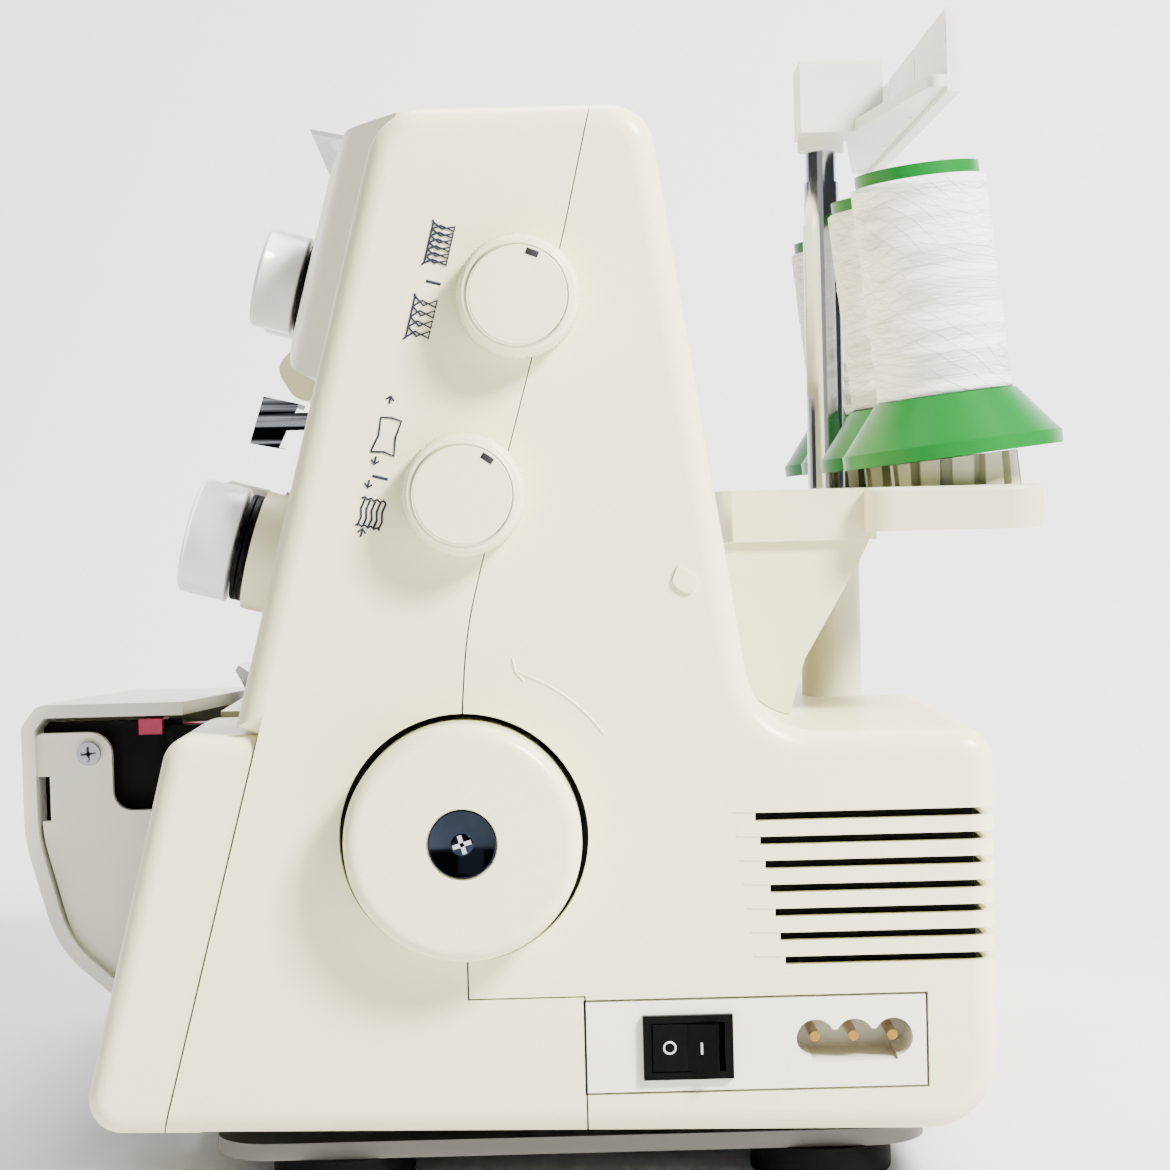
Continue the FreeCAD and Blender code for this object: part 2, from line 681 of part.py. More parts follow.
def presser_foot():
    z = BED_TOP + PLATE_THICK + FREE
    sole = box((-58, -35.2), (-88, -52), (z, z + 2.5))
    toe = prism([(-88.0, z), (-82.0, z), (-82.0, z + 2.5), (-90.5, z + 8.5), (-91.6, z + 7.0)], (-56, -37))
    ankle = leaned(box((-63, -54.5), (-67.5, -58.5), (112, 130)))
    link = box((-63, -54.5), (-70, -54), (z, z + 7))
    foot = join([sole, toe, ankle, link])
    slot = box((-50, -40), (-78, -61), (z - 1, z + 14))
    return drill(foot, [slot, rod(presser_point(14), presser_point(40), 3.0)])


def foot_lifter():
    pin = along_x((-66, -54.3), LIFTER, 3.0)
    arm = box((-60.7, -54.3), (LIFTER[0], LIFTER[0] + 42), (LIFTER[1] - 2.5, LIFTER[1] + 2.5))
    hub = along_x((-60.7, -54.3), LIFTER, 5.5)
    pad = box((-63, -52), (LIFTER[0] + 36, LIFTER[0] + 48), (LIFTER[1] - 2.5, LIFTER[1] + 1.5))
    lever = join([arm, hub, pad])
    lever.rotate(V(0, *LIFTER), X_AXIS, -35)
    return join([pin, lever])


def looper(pivot, tip, y):
    """Looper: a hub on its stud, an upright arm and a pointed blade towards the needles."""
    hub = rod(V(pivot[0], y[0], pivot[1]), V(pivot[0], y[1], pivot[1]), 6.0)
    side = 1 if tip[0] > pivot[0] else -1
    arm = box((pivot[0] - 3.5, pivot[0] + 3.5), y, (pivot[1], tip[1]))
    points = [(pivot[0], tip[1] - 6), (tip[0], tip[1]), (tip[0] - side * 3, tip[1] + 1.6),
              (pivot[0], tip[1] + 2)]
    wire = outline(points, lambda p: V(p.x, y[0], p.y))
    blade = Part.Face(wire).extrude(V(0, y[1] - y[0], 0))
    bore = rod(V(pivot[0], y[0] - 1, pivot[1]), V(pivot[0], y[1] + 1, pivot[1]), 3.0 + RUNNING)
    return join([hub, arm, blade]).cut(bore)


def upper_knife():
    carrier = box((-31, -20.5), (-84, -74), (78, 88))
    blade = box((-31, -29.2), (-84, -77), (86, 112))
    return join([carrier, blade]).cut(upright((-26, -79), (60, 100), 3.0 + RUNNING))


def lower_knife():
    return box((-33.6, -31.4), (-82, -76), (BASE_TOP, 106.5))


def feed_dogs():
    carrier = box((-52, -40), (-66, -35), (96, 99.5))
    rows = [box((x, x + 3), (-65, -50), (99.5, BED_TOP + PLATE_THICK - 0.4)) for x in (-53.5, -47.5, -41.5)]
    bridge = box((-53.5, -38.5), (-62, -53), (98, 100))
    return join([carrier, bridge] + rows)


# --- looper cover -------------------------------------------------------------------
def cover_outline():
    return [(-92.0, 113.0), (-129.5, 113.0, 4.0), (-133.8, 107.5, 4.0), (-133.6, 78.0, 40.0),
            (-126.0, 50.0, 30.0), (-108.0, 34.0, 6.0), (-98.0, 34.0)]


def below_cover_top(depth):
    """Everything under the cover's falling top face, or under a depth below it."""
    fall = COVER_FALL * (COVER_RIGHT - COVER_LEFT + 20)
    wire = Part.makePolygon([V(COVER_RIGHT + 10, -200, 113.5 - depth), V(COVER_LEFT - 10, -200, 113.5 - depth - fall),
                             V(COVER_LEFT - 10, -200, -50), V(COVER_RIGHT + 10, -200, -50),
                             V(COVER_RIGHT + 10, -200, 113.5 - depth)])
    return Part.Face(wire).extrude(V(0, 200, 0))


def looper_cover():
    outer = prism(cover_outline(), (COVER_LEFT, COVER_RIGHT)).common(below_cover_top(0.0))
    inner = prism(inset(cover_outline(), COVER_WALL), (COVER_LEFT + COVER_WALL, COVER_RIGHT + 1))
    back = box((COVER_LEFT + COVER_WALL, COVER_RIGHT + 1), (-105, -80), (34 + COVER_WALL, 113 - COVER_WALL))
    room = join([inner, back]).common(below_cover_top(COVER_WALL))
    barrels = []
    for x in (-100.0, -45.0, -1.0):
        barrels.append(along_x((x, x + 10), HINGE, 5.0))
        barrels.append(box((x, x + 10), (-110, -102), (HINGE[1], 36)))
    cover = join([outer.cut(room)] + barrels)
    return cover.cut(along_x((-130, 60), HINGE, HINGE_RADIUS + RUNNING))


def looper_cover_plate():
    points = [(-131.0, 105.4, 2.0), (-111.2, 105.4, 6.0), (-111.2, 85.0, 5.0), (-99.0, 85.0, 2.0),
              (-99.0, 40.0, 2.0), (-111.0, 40.0, 3.0), (-122.2, 51.0, 26.0), (-129.2, 78.0, 36.0)]
    x = (COVER_RIGHT - 5.5, COVER_RIGHT - 3.0)
    plate = prism(points, x).common(prism(inset(cover_outline(), COVER_WALL), x))
    slot = box((COVER_RIGHT - 6, COVER_RIGHT), (-134, -127.3), (82.7, 94.3))
    screw = along_x((COVER_RIGHT - 6, COVER_RIGHT), (-117.0, 100.0), 1.6)
    return drill(plate, [slot, screw])


def looper_cover_screw():
    head = along_x((COVER_RIGHT - 3.0, COVER_RIGHT - 1.4), (-117.0, 100.0), 3.0)
    shank = along_x((COVER_RIGHT - 9, COVER_RIGHT - 3), (-117.0, 100.0), 1.6)
    slots = [box((COVER_RIGHT - 2, COVER_RIGHT), (-117 - a, -117 + a), (100 - b, 100 + b))
             for a, b in ((2.0, 0.4), (0.4, 2.0))]
    return drill(join([head, shank]), slots)


def cover_hinge_rod():
    return along_x((-124, 23), HINGE, HINGE_RADIUS)


def finger_lever():
    tab = box((50, 62), (-104.3, -98.3), (104.4, 108.4))
    arm = box((54, 58), (-98.5, -70), (102.2, 106.8))
    return join([tab, arm]).cut(along_x((50, 62), (-72.5, 104.5), 1.5 + RUNNING))


# --- knobs, dials, switch and inlet ----------------------------------------------------
def knob(name):
    centre = KNOB_CENTRES[name]
    start = RIGHT + FREE
    body = along_x((start, start + KNOB_HEIGHT), centre, KNOB_RADIUS)
    rim = [edge for edge in body.Edges if abs(edge.BoundBox.XMin - start - KNOB_HEIGHT) < 1e-3]
    body = body.makeFillet(1.2, rim)
    seat = along_x((start + KNOB_HEIGHT - 2, start + KNOB_HEIGHT + 1), centre, KNOB_CAP_RADIUS)
    stem = along_x((RIGHT - 14, start + 1), centre, 3.2)
    flange = along_x((RIGHT - WALL - 3.5, RIGHT - WALL - FREE), centre, 5.5)
    return join([body.cut(seat), stem, flange])


def knob_cap(name):
    centre = KNOB_CENTRES[name]
    top = RIGHT + FREE + KNOB_HEIGHT
    cap = along_x((top - 2, top + 0.3), centre, KNOB_CAP_RADIUS)
    return cap.makeFillet(0.25, [edge for edge in cap.Edges if abs(edge.BoundBox.XMin - top - 0.3) < 1e-3])


def dial(name):
    face = V(*DIALS[name])
    back = face - dial_axis() * DIAL_LENGTH
    body = rod(back, face, DIAL_RADIUS)
    nearest = [edge for edge in body.Edges if edge.Length > 50 and (edge.CenterOfMass - face).Length < 1]
    body = body.makeFillet(2.0, nearest)
    return body.cut(rod(back - dial_axis(), back + dial_axis() * 8, STUD_RADIUS + RUNNING))


def tension_studs():
    studs = []
    for x, y, z in DIALS.values():
        face = V(x, y, z)
        studs.append(rod(face - dial_axis() * (DIAL_LENGTH + 14), face - dial_axis() * 4.5, STUD_RADIUS))
    return Part.makeCompound(studs)


def tension_discs():
    discs = []
    for x, y, z in DIALS.values():
        for depth in (1.0, 2.4):
            start = V(x, y, z) - dial_axis() * (DIAL_LENGTH + depth + 0.9)
            discs.append(pipe(start, start + dial_axis() * 0.9, DISC_RADIUS, STUD_RADIUS))
    return Part.makeCompound(discs)


def inlet_shape(x, grow=0.0):
    """Round-ended recess with three lobes along its top."""
    radius = INLET_HEIGHT / 2 - 0.8 + grow
    y, z = INLET
    half = INLET_WIDTH / 2 - radius + grow
    body = box(x, (y - half, y + half), (z - INLET_HEIGHT / 2 - grow, z + INLET_HEIGHT / 2 - 1.6))
    lobes = [along_x(x, (y + PIN_PITCH * i, z + 0.8), INLET_HEIGHT / 2 + grow) for i in (-1, 0, 1)]
    return join([body] + lobes)


def power_panel():
    plate = box((RIGHT - PANEL_THICK, RIGHT), (PANEL[0], PANEL[1]), (PANEL[2], PANEL[3]))
    x = (RIGHT - PANEL_THICK - 1, RIGHT + 1)
    switch = box(x, (SWITCH[0] - 9.6, SWITCH[0] + 9.6), (SWITCH[1] - 6.6, SWITCH[1] + 6.6))
    return drill(plate, [switch, inlet_shape(x)])


def inlet_socket():
    y, z = INLET
    x = (RIGHT - PANEL_THICK - INLET_DEPTH, RIGHT - PANEL_THICK)
    block = box(x, (y - INLET_WIDTH / 2 - 3, y + INLET_WIDTH / 2 + 3), (z - 7.5, z + 8.5))
    block = block.cut(inlet_shape((x[0] + 2, x[1] + 1)))
    for i in (-1, 0, 1):
        block = block.cut(along_x((x[0] - 1, x[0] + 3), (y + PIN_PITCH * i, z + 0.8), PIN_RADIUS))
    return block


def inlet_pins():
    start = RIGHT - PANEL_THICK - INLET_DEPTH - 3
    pins = [along_x((start, RIGHT - 2.5), (INLET[0] + PIN_PITCH * i, INLET[1] + 0.8), PIN_RADIUS)
            for i in (-1, 0, 1)]
    return Part.makeCompound(pins)


def switch_bezel():
    y, z = SWITCH
    flange = box((RIGHT, RIGHT + 1.5), (y - BEZEL[0] / 2, y + BEZEL[0] / 2), (z - BEZEL[1] / 2, z + BEZEL[1] / 2))
    body = box((RIGHT - 14, RIGHT), (y - 9.6, y + 9.6), (z - 6.6, z + 6.6))
    cavity = box((RIGHT - 12, RIGHT + 2), (y - 8.6, y + 8.6), (z - 5.8, z + 5.8))
    pivots = [rod(V(RIGHT, y, z + a), V(RIGHT, y, z + b), 1.0) for a, b in ((-6, -4.6), (4.6, 6))]
    return join([join([flange, body]).cut(cavity)] + pivots)


def switch_rocker():
    y, z = SWITCH
    points = [(RIGHT + 3.0, y - 7.8), (RIGHT + 1.5, y), (RIGHT + 3.0, y + 7.8),
              (RIGHT - 5.0, y + 6.3), (RIGHT - 5.0, y - 6.3)]
    body = slab(points, (z - ROCKER[1] / 2, z + ROCKER[1] / 2))
    body = body.cut(rod(V(RIGHT, y, z - 6), V(RIGHT, y, z - 4.5), 1.0 + RUNNING))
    body = body.cut(rod(V(RIGHT, y, z + 4.5), V(RIGHT, y, z + 6), 1.0 + RUNNING))
    body.rotate(V(RIGHT, y, z), Z_AXIS, -ROCKER_TILT)
    return body


# --- spool stand --------------------------------------------------------------------
def cone_x(i):
    return POLE[0] + CONE_PITCH * (i - (CONES - 1) / 2)


def cone_axis():
    tilt = math.radians(CONE_TILT)
    return V(0, -math.sin(tilt), math.cos(tilt))


def cone_point(i, s):
    return V(cone_x(i), *CONE_BASE) + cone_axis() * s


def stand_tray():
    rear = TRAY_Y[1]
    x = (POLE[0] - TRAY_HALF, POLE[0] + TRAY_HALF)
    z = (TRAY_Z - TRAY_THICK, TRAY_Z)
    plate = slab([(x[0], TRAY_Y[0], 6.0), (x[1], TRAY_Y[0], 6.0), (x[1], rear, 9.0), (x[0], rear, 9.0)], z)
    plate = plate.makeFillet(TRAY_EDGE, [e for e in plate.Edges if e.BoundBox.ZMin > z[1] - 0.01])
    lip = [(rear - TRAY_FACET, z[0] - 0.1), (rear + 0.1, z[0] - 0.1), (rear + 0.1, z[0] + TRAY_FACET)]
    plate = plate.cut(prism(lip, (x[0] - 1, x[1] + 1)))
    hollow = box((x[0] + 4, x[1] - 4), (TRAY_Y[0] + 4, rear - 4), (z[0] - 1, z[1] - 3))
    ribs = [box((cone_x(i) - 6, cone_x(i) + 6), (TRAY_Y[0] + 2, rear - 2), (z[0], z[1] - 2)) for i in range(CONES)]
    socket = upright(POLE, z, 8.6)
    block = box((-75, 88), (rear_at(TRAY_Z) + 6.6, TRAY_Y[0] + 3), (TRAY_Z - TRAY_THICK - 2.0, TRAY_Z))
    pocket = box((-71, 84), (rear_at(TRAY_Z) + 10, TRAY_Y[0] - 1), (TRAY_Z - TRAY_THICK - 3.0, TRAY_Z - 3))
    tray = join([plate.cut(hollow)] + ribs + [block.cut(pocket), socket])
    cuts = [upright(POLE, (z[0] - 4, z[1] + 1), POLE_RADII[0]), upright(POLE, (z[0] - 4, z[0]), 8.8)]
    for i in range(CONES):
        cuts.append(rod(cone_point(i, -16), cone_point(i, 0), SPOOL_PIN))
    return drill(tray, cuts)


def stand_bracket():
    under = TRAY_Z - TRAY_THICK
    floor = BED_TOP
    post = upright(POLE, (floor, under), 8.6).cut(upright(POLE, (floor, under), POLE_RADII[0]))
    z = under - 2.0
    points = [(rear_at(z) + 1.6, z), (83.0, z), (80.0, z - 6, 8.0), (66.0, 121.0, 10.0), (62.0, DECK_Z + 0.2),
              (rear_at(DECK_Z) + 4, DECK_Z + 0.2), (rear_at(118) + 1.6, 118.0)]
    web = prism(points, (58, 86))
    web = web.cut(prism(inset(points, 3.0), (50, 83)))
    hollow_side = column_clear()
    return Part.makeCompound([post, web.cut(hollow_side)])


def column_clear():
    """The column with a joint line round it, for pieces that stand against its rear."""
    points = inset(column_outline(), -0.2)
    return prism(points, (COLUMN_LEFT - PANEL_GAP, RIGHT))


def pole_stage(i):
    """Tube of the telescopic pole: 0 is fixed, 1 and 2 slide inside the one below."""
    radius = POLE_RADII[i]
    top = POLE_TOPS[i]
    bottom = BED_TOP if i == 0 else top - STAGE_LENGTH
    tube = upright(POLE, (bottom, top), radius)
    bore = POLE_RADII[i + 1] + RUNNING if i < 2 else radius - POLE_TUBE
    return tube.cut(upright(POLE, (bottom - 1, top + 1), bore))


def cone_holders():
    """Spool pins, each moulded with the ribbed holder that its cone stands on."""
    holders = []
    for i in range(CONES):
        body = rod(cone_point(i, -12), cone_point(i, -FREE), 16.2)
        core = body.common(box((-300, 300), (0, 200), (TRAY_Z, 300)))
        notch = box((-1.6, 1.6), (12.5, 20), (150, 190))
        for k in range(12):
            tool = notch.copy()
            tool.rotate(V(0, 0, 0), Z_AXIS, 30 * k + 15)
            tool.translate(V(cone_x(i), CONE_BASE[0], 0))
            core = core.cut(tool)
        holders.append(join([core, rod(cone_point(i, -12), cone_point(i, 62), SPOOL_PIN)]))
    return Part.makeCompound(holders)


def thread_cone(i):
    """Plastic spool: rim, flared skirt, core and top disc."""
    axis = cone_axis()
    rim = rod(cone_point(i, 0), cone_point(i, 3.5), CONE_RIM)
    skirt = Part.makeCone(CONE_RIM - 0.3, 18.0, 12.0, cone_point(i, 3.5), axis)
    core = Part.makeCone(12.0, 11.0, 54.5, cone_point(i, 15.5), axis)
    disc = rod(cone_point(i, 70.0), cone_point(i, CONE_HEIGHT), 15.8)
    body = join([rim, skirt, core, disc])
    under = Part.makeCone(24.5, 14.0, 11.0, cone_point(i, -0.5), axis)
    hollow = Part.makeCone(10.0, 9.0, 66.0, cone_point(i, 10.0), axis)
    seat = pipe(cone_point(i, 40), cone_point(i, 44), 10.0, SPOOL_PIN + 0.2)
    return join([drill(body, [under, hollow]), seat.cut(rod(cone_point(i, 0), cone_point(i, 70), SPOOL_PIN + 0.2))])


def thread_package(i):
    axis = cone_axis()
    wound = Part.makeCone(PACKAGE_RADIUS, PACKAGE_RADIUS - 0.2, 54.5, cone_point(i, 15.5), axis)
    return wound.cut(Part.makeCone(12.0, 11.0, 54.5, cone_point(i, 15.5), axis))


def thread_tree():
    half = 88.0
    z = (POLE_TOPS[2] - 4, POLE_TOPS[2] + 20.3)
    hub = box((POLE[0] - 10, POLE[0] + 10), (POLE[1] - 6.4, 100), (POLE_TOPS[2] + 0.3, z[1]))
    collar = upright(POLE, (z[0], POLE_TOPS[2] + 1), 6.6)
    lip = box((POLE[0] - half, POLE[0] + half), (106.5, 110.0), (POLE_TOPS[2] - 1, z[1]))
    points = [(POLE[0] - half, 102.0, 3.0), (POLE[0] - 14, 92.0), (POLE[0] + 14, 92.0),
              (POLE[0] + half, 102.0, 3.0), (POLE[0] + half, 108.0), (POLE[0] - half, 108.0)]
    shelf = slab(points, (POLE_TOPS[2] + 0.3, POLE_TOPS[2] + 3.3))
    tree = join([hub, collar, lip, shelf])
    cuts = [upright(POLE, (z[0] - 1, POLE_TOPS[2] + 0.3), POLE_RADII[2] + RUNNING)]
    for i in range(CONES):
        cuts.append(box((cone_x(i) - 0.8, cone_x(i) + 0.8), (100, 112), (z[1] - 9, z[1] + 1)))
        cuts.append(upright((cone_x(i) + 6, 104.0), (POLE_TOPS[2], POLE_TOPS[2] + 5), 1.4))
    return drill(tree, cuts)


# --- thread guides ---------------------------------------------------------------------
def top_thread_guide():
    points = [(-61.0, 267.0), (-49.6, 264.6), (-45.0, 252.0), (-54.0, 250.0)]
    guide = prism(points, (-36, 8)).cut(prism([(-58.0, 262.0), (-51.0, 260.5), (-49.0, 257.0), (-55.0, 256.5)], (-34, 6)))
    slots = [box((x, x + 1.2), (-64, -56), (258, 268)) for x in (-28.0, -10.0)]
    return drill(guide, [arm_block(-0.1)] + slots)


def thread_plate():
    plate = prism([(-69.7, 190.9), (-60.6, 188.8), (-66.2, 177.4), (-73.5, 178.9)], (44, 62))
    hollow = prism([(-68.0, 189.2), (-58.0, 187.0), (-62.0, 176.0), (-71.6, 180.0)], (40, 60.6))
    post = box((58, 61.5), (-68, -50), (182, 186.5))
    column, _ = column_shell()
    return join([plate.cut(hollow), post]).cut(column).cut(arm_block())


# --- write every piece ---------------------------------------------------------------
def pieces():
    upper = looper((-10.0, 58.0), (-36.0, 90.0), (-68.0, -64.0))
    lower = looper((-80.0, 52.0), (-52.0, 84.0), (-62.0, -58.0))
    shapes = {
        "base_pan": base_pan(), "rubber_feet": rubber_feet(), "case_screws": case_screws(),
        "machine_frame": machine_frame(), "front_cover": front_cover(), "rear_cover": rear_cover(),
        "arm_cover": arm_cover(), "head_cover": head_cover(), "bed_cover": bed_cover(),
        "cloth_plate": cloth_plate(), "needle_plate": needle_plate(),
        "front_corner_cover": front_corner_cover(), "power_panel": power_panel(),
        "switch_bezel": switch_bezel(), "switch_rocker": switch_rocker(),
        "inlet_socket": inlet_socket(), "inlet_pins": inlet_pins(), "bearing_bushes": bushes(),
        "main_shaft": main_shaft(), "handwheel": handwheel(), "handwheel_screw": handwheel_screw(),
        "motor_body": motor_body(), "motor_rotor": motor_rotor(),
        "drive_belt": drive_belt(), "arm_rocker": arm_rocker(), "needle_bar": needle_bar(),
        "needle_clamp": needle_clamp(), "needles": needles(), "presser_bar": presser_bar(),
        "presser_foot": presser_foot(), "foot_lifter": foot_lifter(), "upper_looper": upper,
        "lower_looper": lower, "upper_knife": upper_knife(), "lower_knife": lower_knife(),
        "feed_dogs": feed_dogs(), "looper_cover": looper_cover(),
        "looper_cover_plate": looper_cover_plate(), "looper_cover_screw": looper_cover_screw(),
        "cover_hinge_rod": cover_hinge_rod(), "finger_lever": finger_lever(),
        "tension_studs": tension_studs(), "tension_discs": tension_discs(),
        "spool_stand_tray": stand_tray(), "stand_bracket": stand_bracket(),
        "cone_holders": cone_holders(), "thread_tree": thread_tree(),
        "top_thread_guide": top_thread_guide(), "thread_plate": thread_plate(),
    }
    for name in KNOB_CENTRES:
        shapes[name + "_knob"] = join([knob(name), knob_cap(name)])
    for name in DIALS:
        shapes[name + "_dial"] = dial(name)
    for i, stage in enumerate(("pole_tube", "pole_middle", "pole_top")):
        shapes[stage] = pole_stage(i)
    shapes["thread_cones"] = Part.makeCompound([thread_cone(i) for i in range(CONES)])
    shapes["thread_packages"] = Part.makeCompound([thread_package(i) for i in range(CONES)])
    return shapes


os.makedirs("parts", exist_ok=True)
for node, shape in pieces().items():
    if not shape.isValid():
        print("not valid:", node)
    if len(shape.Solids) == 0:
        print("no solid:", node)
    shape.exportStep("parts/" + node + ".step")
    print(node, len(shape.Solids), round(shape.Volume))
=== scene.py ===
import math
import random

import bmesh
import bpy
from mathutils import Matrix, Vector


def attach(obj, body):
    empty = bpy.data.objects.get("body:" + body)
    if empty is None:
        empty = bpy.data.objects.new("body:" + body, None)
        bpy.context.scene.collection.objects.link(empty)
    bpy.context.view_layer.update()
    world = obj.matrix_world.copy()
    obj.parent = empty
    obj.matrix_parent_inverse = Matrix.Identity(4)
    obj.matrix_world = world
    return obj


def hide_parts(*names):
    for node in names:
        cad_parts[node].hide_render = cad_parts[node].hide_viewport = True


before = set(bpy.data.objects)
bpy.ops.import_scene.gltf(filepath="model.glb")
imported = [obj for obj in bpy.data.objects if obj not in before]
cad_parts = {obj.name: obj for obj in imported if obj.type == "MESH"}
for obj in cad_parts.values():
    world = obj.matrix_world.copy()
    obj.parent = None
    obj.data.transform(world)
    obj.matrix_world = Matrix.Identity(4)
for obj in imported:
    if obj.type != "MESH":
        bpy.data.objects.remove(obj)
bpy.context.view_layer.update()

# The room. A pale seamless sheet runs under the machine and rises behind it, and soft
# lamps stand round it. The camera looks at the handwheel end from a little above its middle.
MM = 0.001
FLOOR_NEAR = 2.2
SHEET_WIDTH = 6.0
SHEET_RISE = 3.0
BEND_START = -0.42
BEND_RADIUS = 0.55
ROOM_LIGHT = 0.08
MIDDLE = (0, 0, 0.12)
CAMERA_PLACE = Vector((0.7335, 0.0065, 0.1622))
CAMERA_PITCH = math.radians(1.87)
CAMERA_YAW = math.radians(0.463)
CAMERA_ROLL = math.radians(-1.4)
CAMERA_LENS = 80.0
CAMERA_FILM = 36.0


class Wire:
    """An output socket of a finish, on which Python's arithmetic adds Math nodes."""

    def __init__(self, finish, socket):
        self.finish = finish
        self.socket = socket

    def math(self, operation, first, second=0.0):
        sockets = {0: first, 1: second}
        return self.finish.node("ShaderNodeMath", {"operation": operation}, sockets)

    def __add__(self, other):
        return self.math("ADD", self, other)

    def __sub__(self, other):
        return self.math("SUBTRACT", self, other)

    def __mul__(self, other):
        return self.math("MULTIPLY", self, other)

    def __gt__(self, other):
        return self.math("GREATER_THAN", self, other)


class Finish:
    """A procedural material: a Principled shader whose sockets take numbers or wires."""

    def __init__(self, name, **constants):
        self.material = bpy.data.materials.new(name)
        self.material.use_nodes = True
        self.tree = self.material.node_tree
        self.shader = self.tree.nodes["Principled BSDF"]
        self.set(**constants)
        self.place = self.node("ShaderNodeTexCoord", {}, {}, "Object")

    def set(self, **values):
        for name, value in values.items():
            socket = self.shader.inputs[name.replace("_", " ").title().replace("Ior", "IOR")]
            self.feed(socket, value)

    def feed(self, socket, value):
        if isinstance(value, Wire):
            self.tree.links.new(value.socket, socket)
        else:
            socket.default_value = value

    def node(self, kind, settings, sockets, output=0):
        made = self.tree.nodes.new(kind)
        for name, value in settings.items():
            setattr(made, name, value)
        for name, value in sockets.items():
            self.feed(made.inputs[name], value)
        return Wire(self, made.outputs[output])

    def noise(self, scale, detail=2.0, place=None):
        sockets = {"Vector": place or self.place, "Scale": scale, "Detail": detail}
        return self.node("ShaderNodeTexNoise", {}, sockets)

    def stretched(self, place, amounts):
        sockets = {0: place, 1: amounts}
        return self.node("ShaderNodeVectorMath", {"operation": "MULTIPLY"}, sockets)

    def tint(self, factor, first, second):
        """Colour the surface between two tones."""
        sockets = {0: factor, 6: first, 7: second}
        self.set(base_color=self.node("ShaderNodeMix", {"data_type": "RGBA"}, sockets, 2))

    def bump(self, height, strength, distance):
        sockets = {"Height": height, "Strength": strength, "Distance": distance}
        self.set(normal=self.node("ShaderNodeBump", {}, sockets))


def rgb(red, green, blue):
    """A screen colour in the linear values that a shader takes."""
    return tuple(((c / 255 + 0.055) / 1.055) ** 2.4 for c in (red, green, blue)) + (1.0,)


def piece(name, form, finish, smooth=35.0):
    """Turn a bmesh into an object, smooth up to an edge angle, and free the bmesh."""
    bmesh.ops.recalc_face_normals(form, faces=form.faces)
    for face in form.faces:
        face.smooth = True
    for edge in form.edges:
        if len(edge.link_faces) == 2:
            edge.smooth = edge.calc_face_angle(0.0) < math.radians(smooth)
    mesh = bpy.data.meshes.new(name)
    form.to_mesh(mesh)
    form.free()
    made = bpy.data.objects.new(name, mesh)
    bpy.context.scene.collection.objects.link(made)
    mesh.materials.append(finish.material)
    return made


def picked(geometry, kind):
    return [element for element in geometry if isinstance(element, kind)]


sheet_finish = Finish("pale_sheet", roughness=0.55)
sheet_finish.tint(sheet_finish.noise(3.0), rgb(224, 224, 229), rgb(229, 229, 232))
form = bmesh.new()
near_edge = [form.verts.new((FLOOR_NEAR, y, 0)) for y in (-SHEET_WIDTH / 2, SHEET_WIDTH / 2)]
form.edges.new(near_edge)
floor_run = bmesh.ops.extrude_edge_only(form, edges=form.edges[:])["geom"]
bmesh.ops.translate(form, verts=picked(floor_run, bmesh.types.BMVert),
                    vec=(BEND_START - FLOOR_NEAR, 0, 0))
bend = bmesh.ops.spin(form, geom=picked(floor_run, bmesh.types.BMEdge),
                      cent=(BEND_START, 0, BEND_RADIUS), axis=(0, 1, 0), dvec=(0, 0, 0),
                      angle=math.radians(90), steps=24, use_merge=False)
wall = bmesh.ops.extrude_edge_only(form, edges=picked(bend["geom_last"], bmesh.types.BMEdge))
bmesh.ops.translate(form, verts=picked(wall["geom"], bmesh.types.BMVert), vec=(0, 0, SHEET_RISE))
piece("pale_sheet", form, sheet_finish, 60)

world = bpy.data.worlds.new("studio")
bpy.context.scene.world = world
world.use_nodes = True
world.node_tree.nodes["Background"].inputs["Color"].default_value = rgb(233, 236, 243)
world.node_tree.nodes["Background"].inputs["Strength"].default_value = ROOM_LIGHT

for name, place, aim, size, watts, tint in (
        ("key", (1.0, 1.15, 1.35), MIDDLE, 0.42, 170.0, (1.0, 0.99, 0.965)),
        ("fill", (2.0, -0.5, 0.6), MIDDLE, 1.2, 2.5, (0.97, 0.985, 1.0)),
        ("top", (-0.75, 0.0, 1.9), MIDDLE, 1.0, 46.0, (1.0, 1.0, 1.0)),
        ("backdrop", (-0.3, 0.0, 1.35), (-0.9, 0.0, 0.1), 1.1, 13.0, (0.99, 0.99, 1.0))):
    lamp = bpy.data.lights.new(name, "AREA")
    lamp.size = size
    lamp.energy = watts
    lamp.color = tint
    holder = bpy.data.objects.new(name, lamp)
    holder.location = place
    holder.rotation_euler = (Vector(aim) - Vector(place)).to_track_quat("-Z", "Y").to_euler()
    bpy.context.scene.collection.objects.link(holder)

lens = bpy.data.cameras.new("camera")
lens.lens = CAMERA_LENS
lens.sensor_width = CAMERA_FILM
camera = bpy.data.objects.new("camera", lens)
sight = Vector((-math.cos(CAMERA_PITCH) * math.cos(CAMERA_YAW), math.sin(CAMERA_YAW),
                -math.sin(CAMERA_PITCH)))
camera.matrix_world = (Matrix.Translation(CAMERA_PLACE)
                       @ sight.to_track_quat("-Z", "Y").to_matrix().to_4x4()
                       @ Matrix.Rotation(CAMERA_ROLL, 4, "Z"))
bpy.context.scene.collection.objects.link(camera)
bpy.context.scene.camera = camera


# The base pan is a shallow grey moulding that closes the machine from below. Its grey is darkened
# as painted shade for the shadow under the machine. Four round feet of black rubber sit under it
# and keep the machine from creeping on the table.
def shade(colour, amount):
    return tuple(c * amount for c in colour[:3]) + (1.0,)


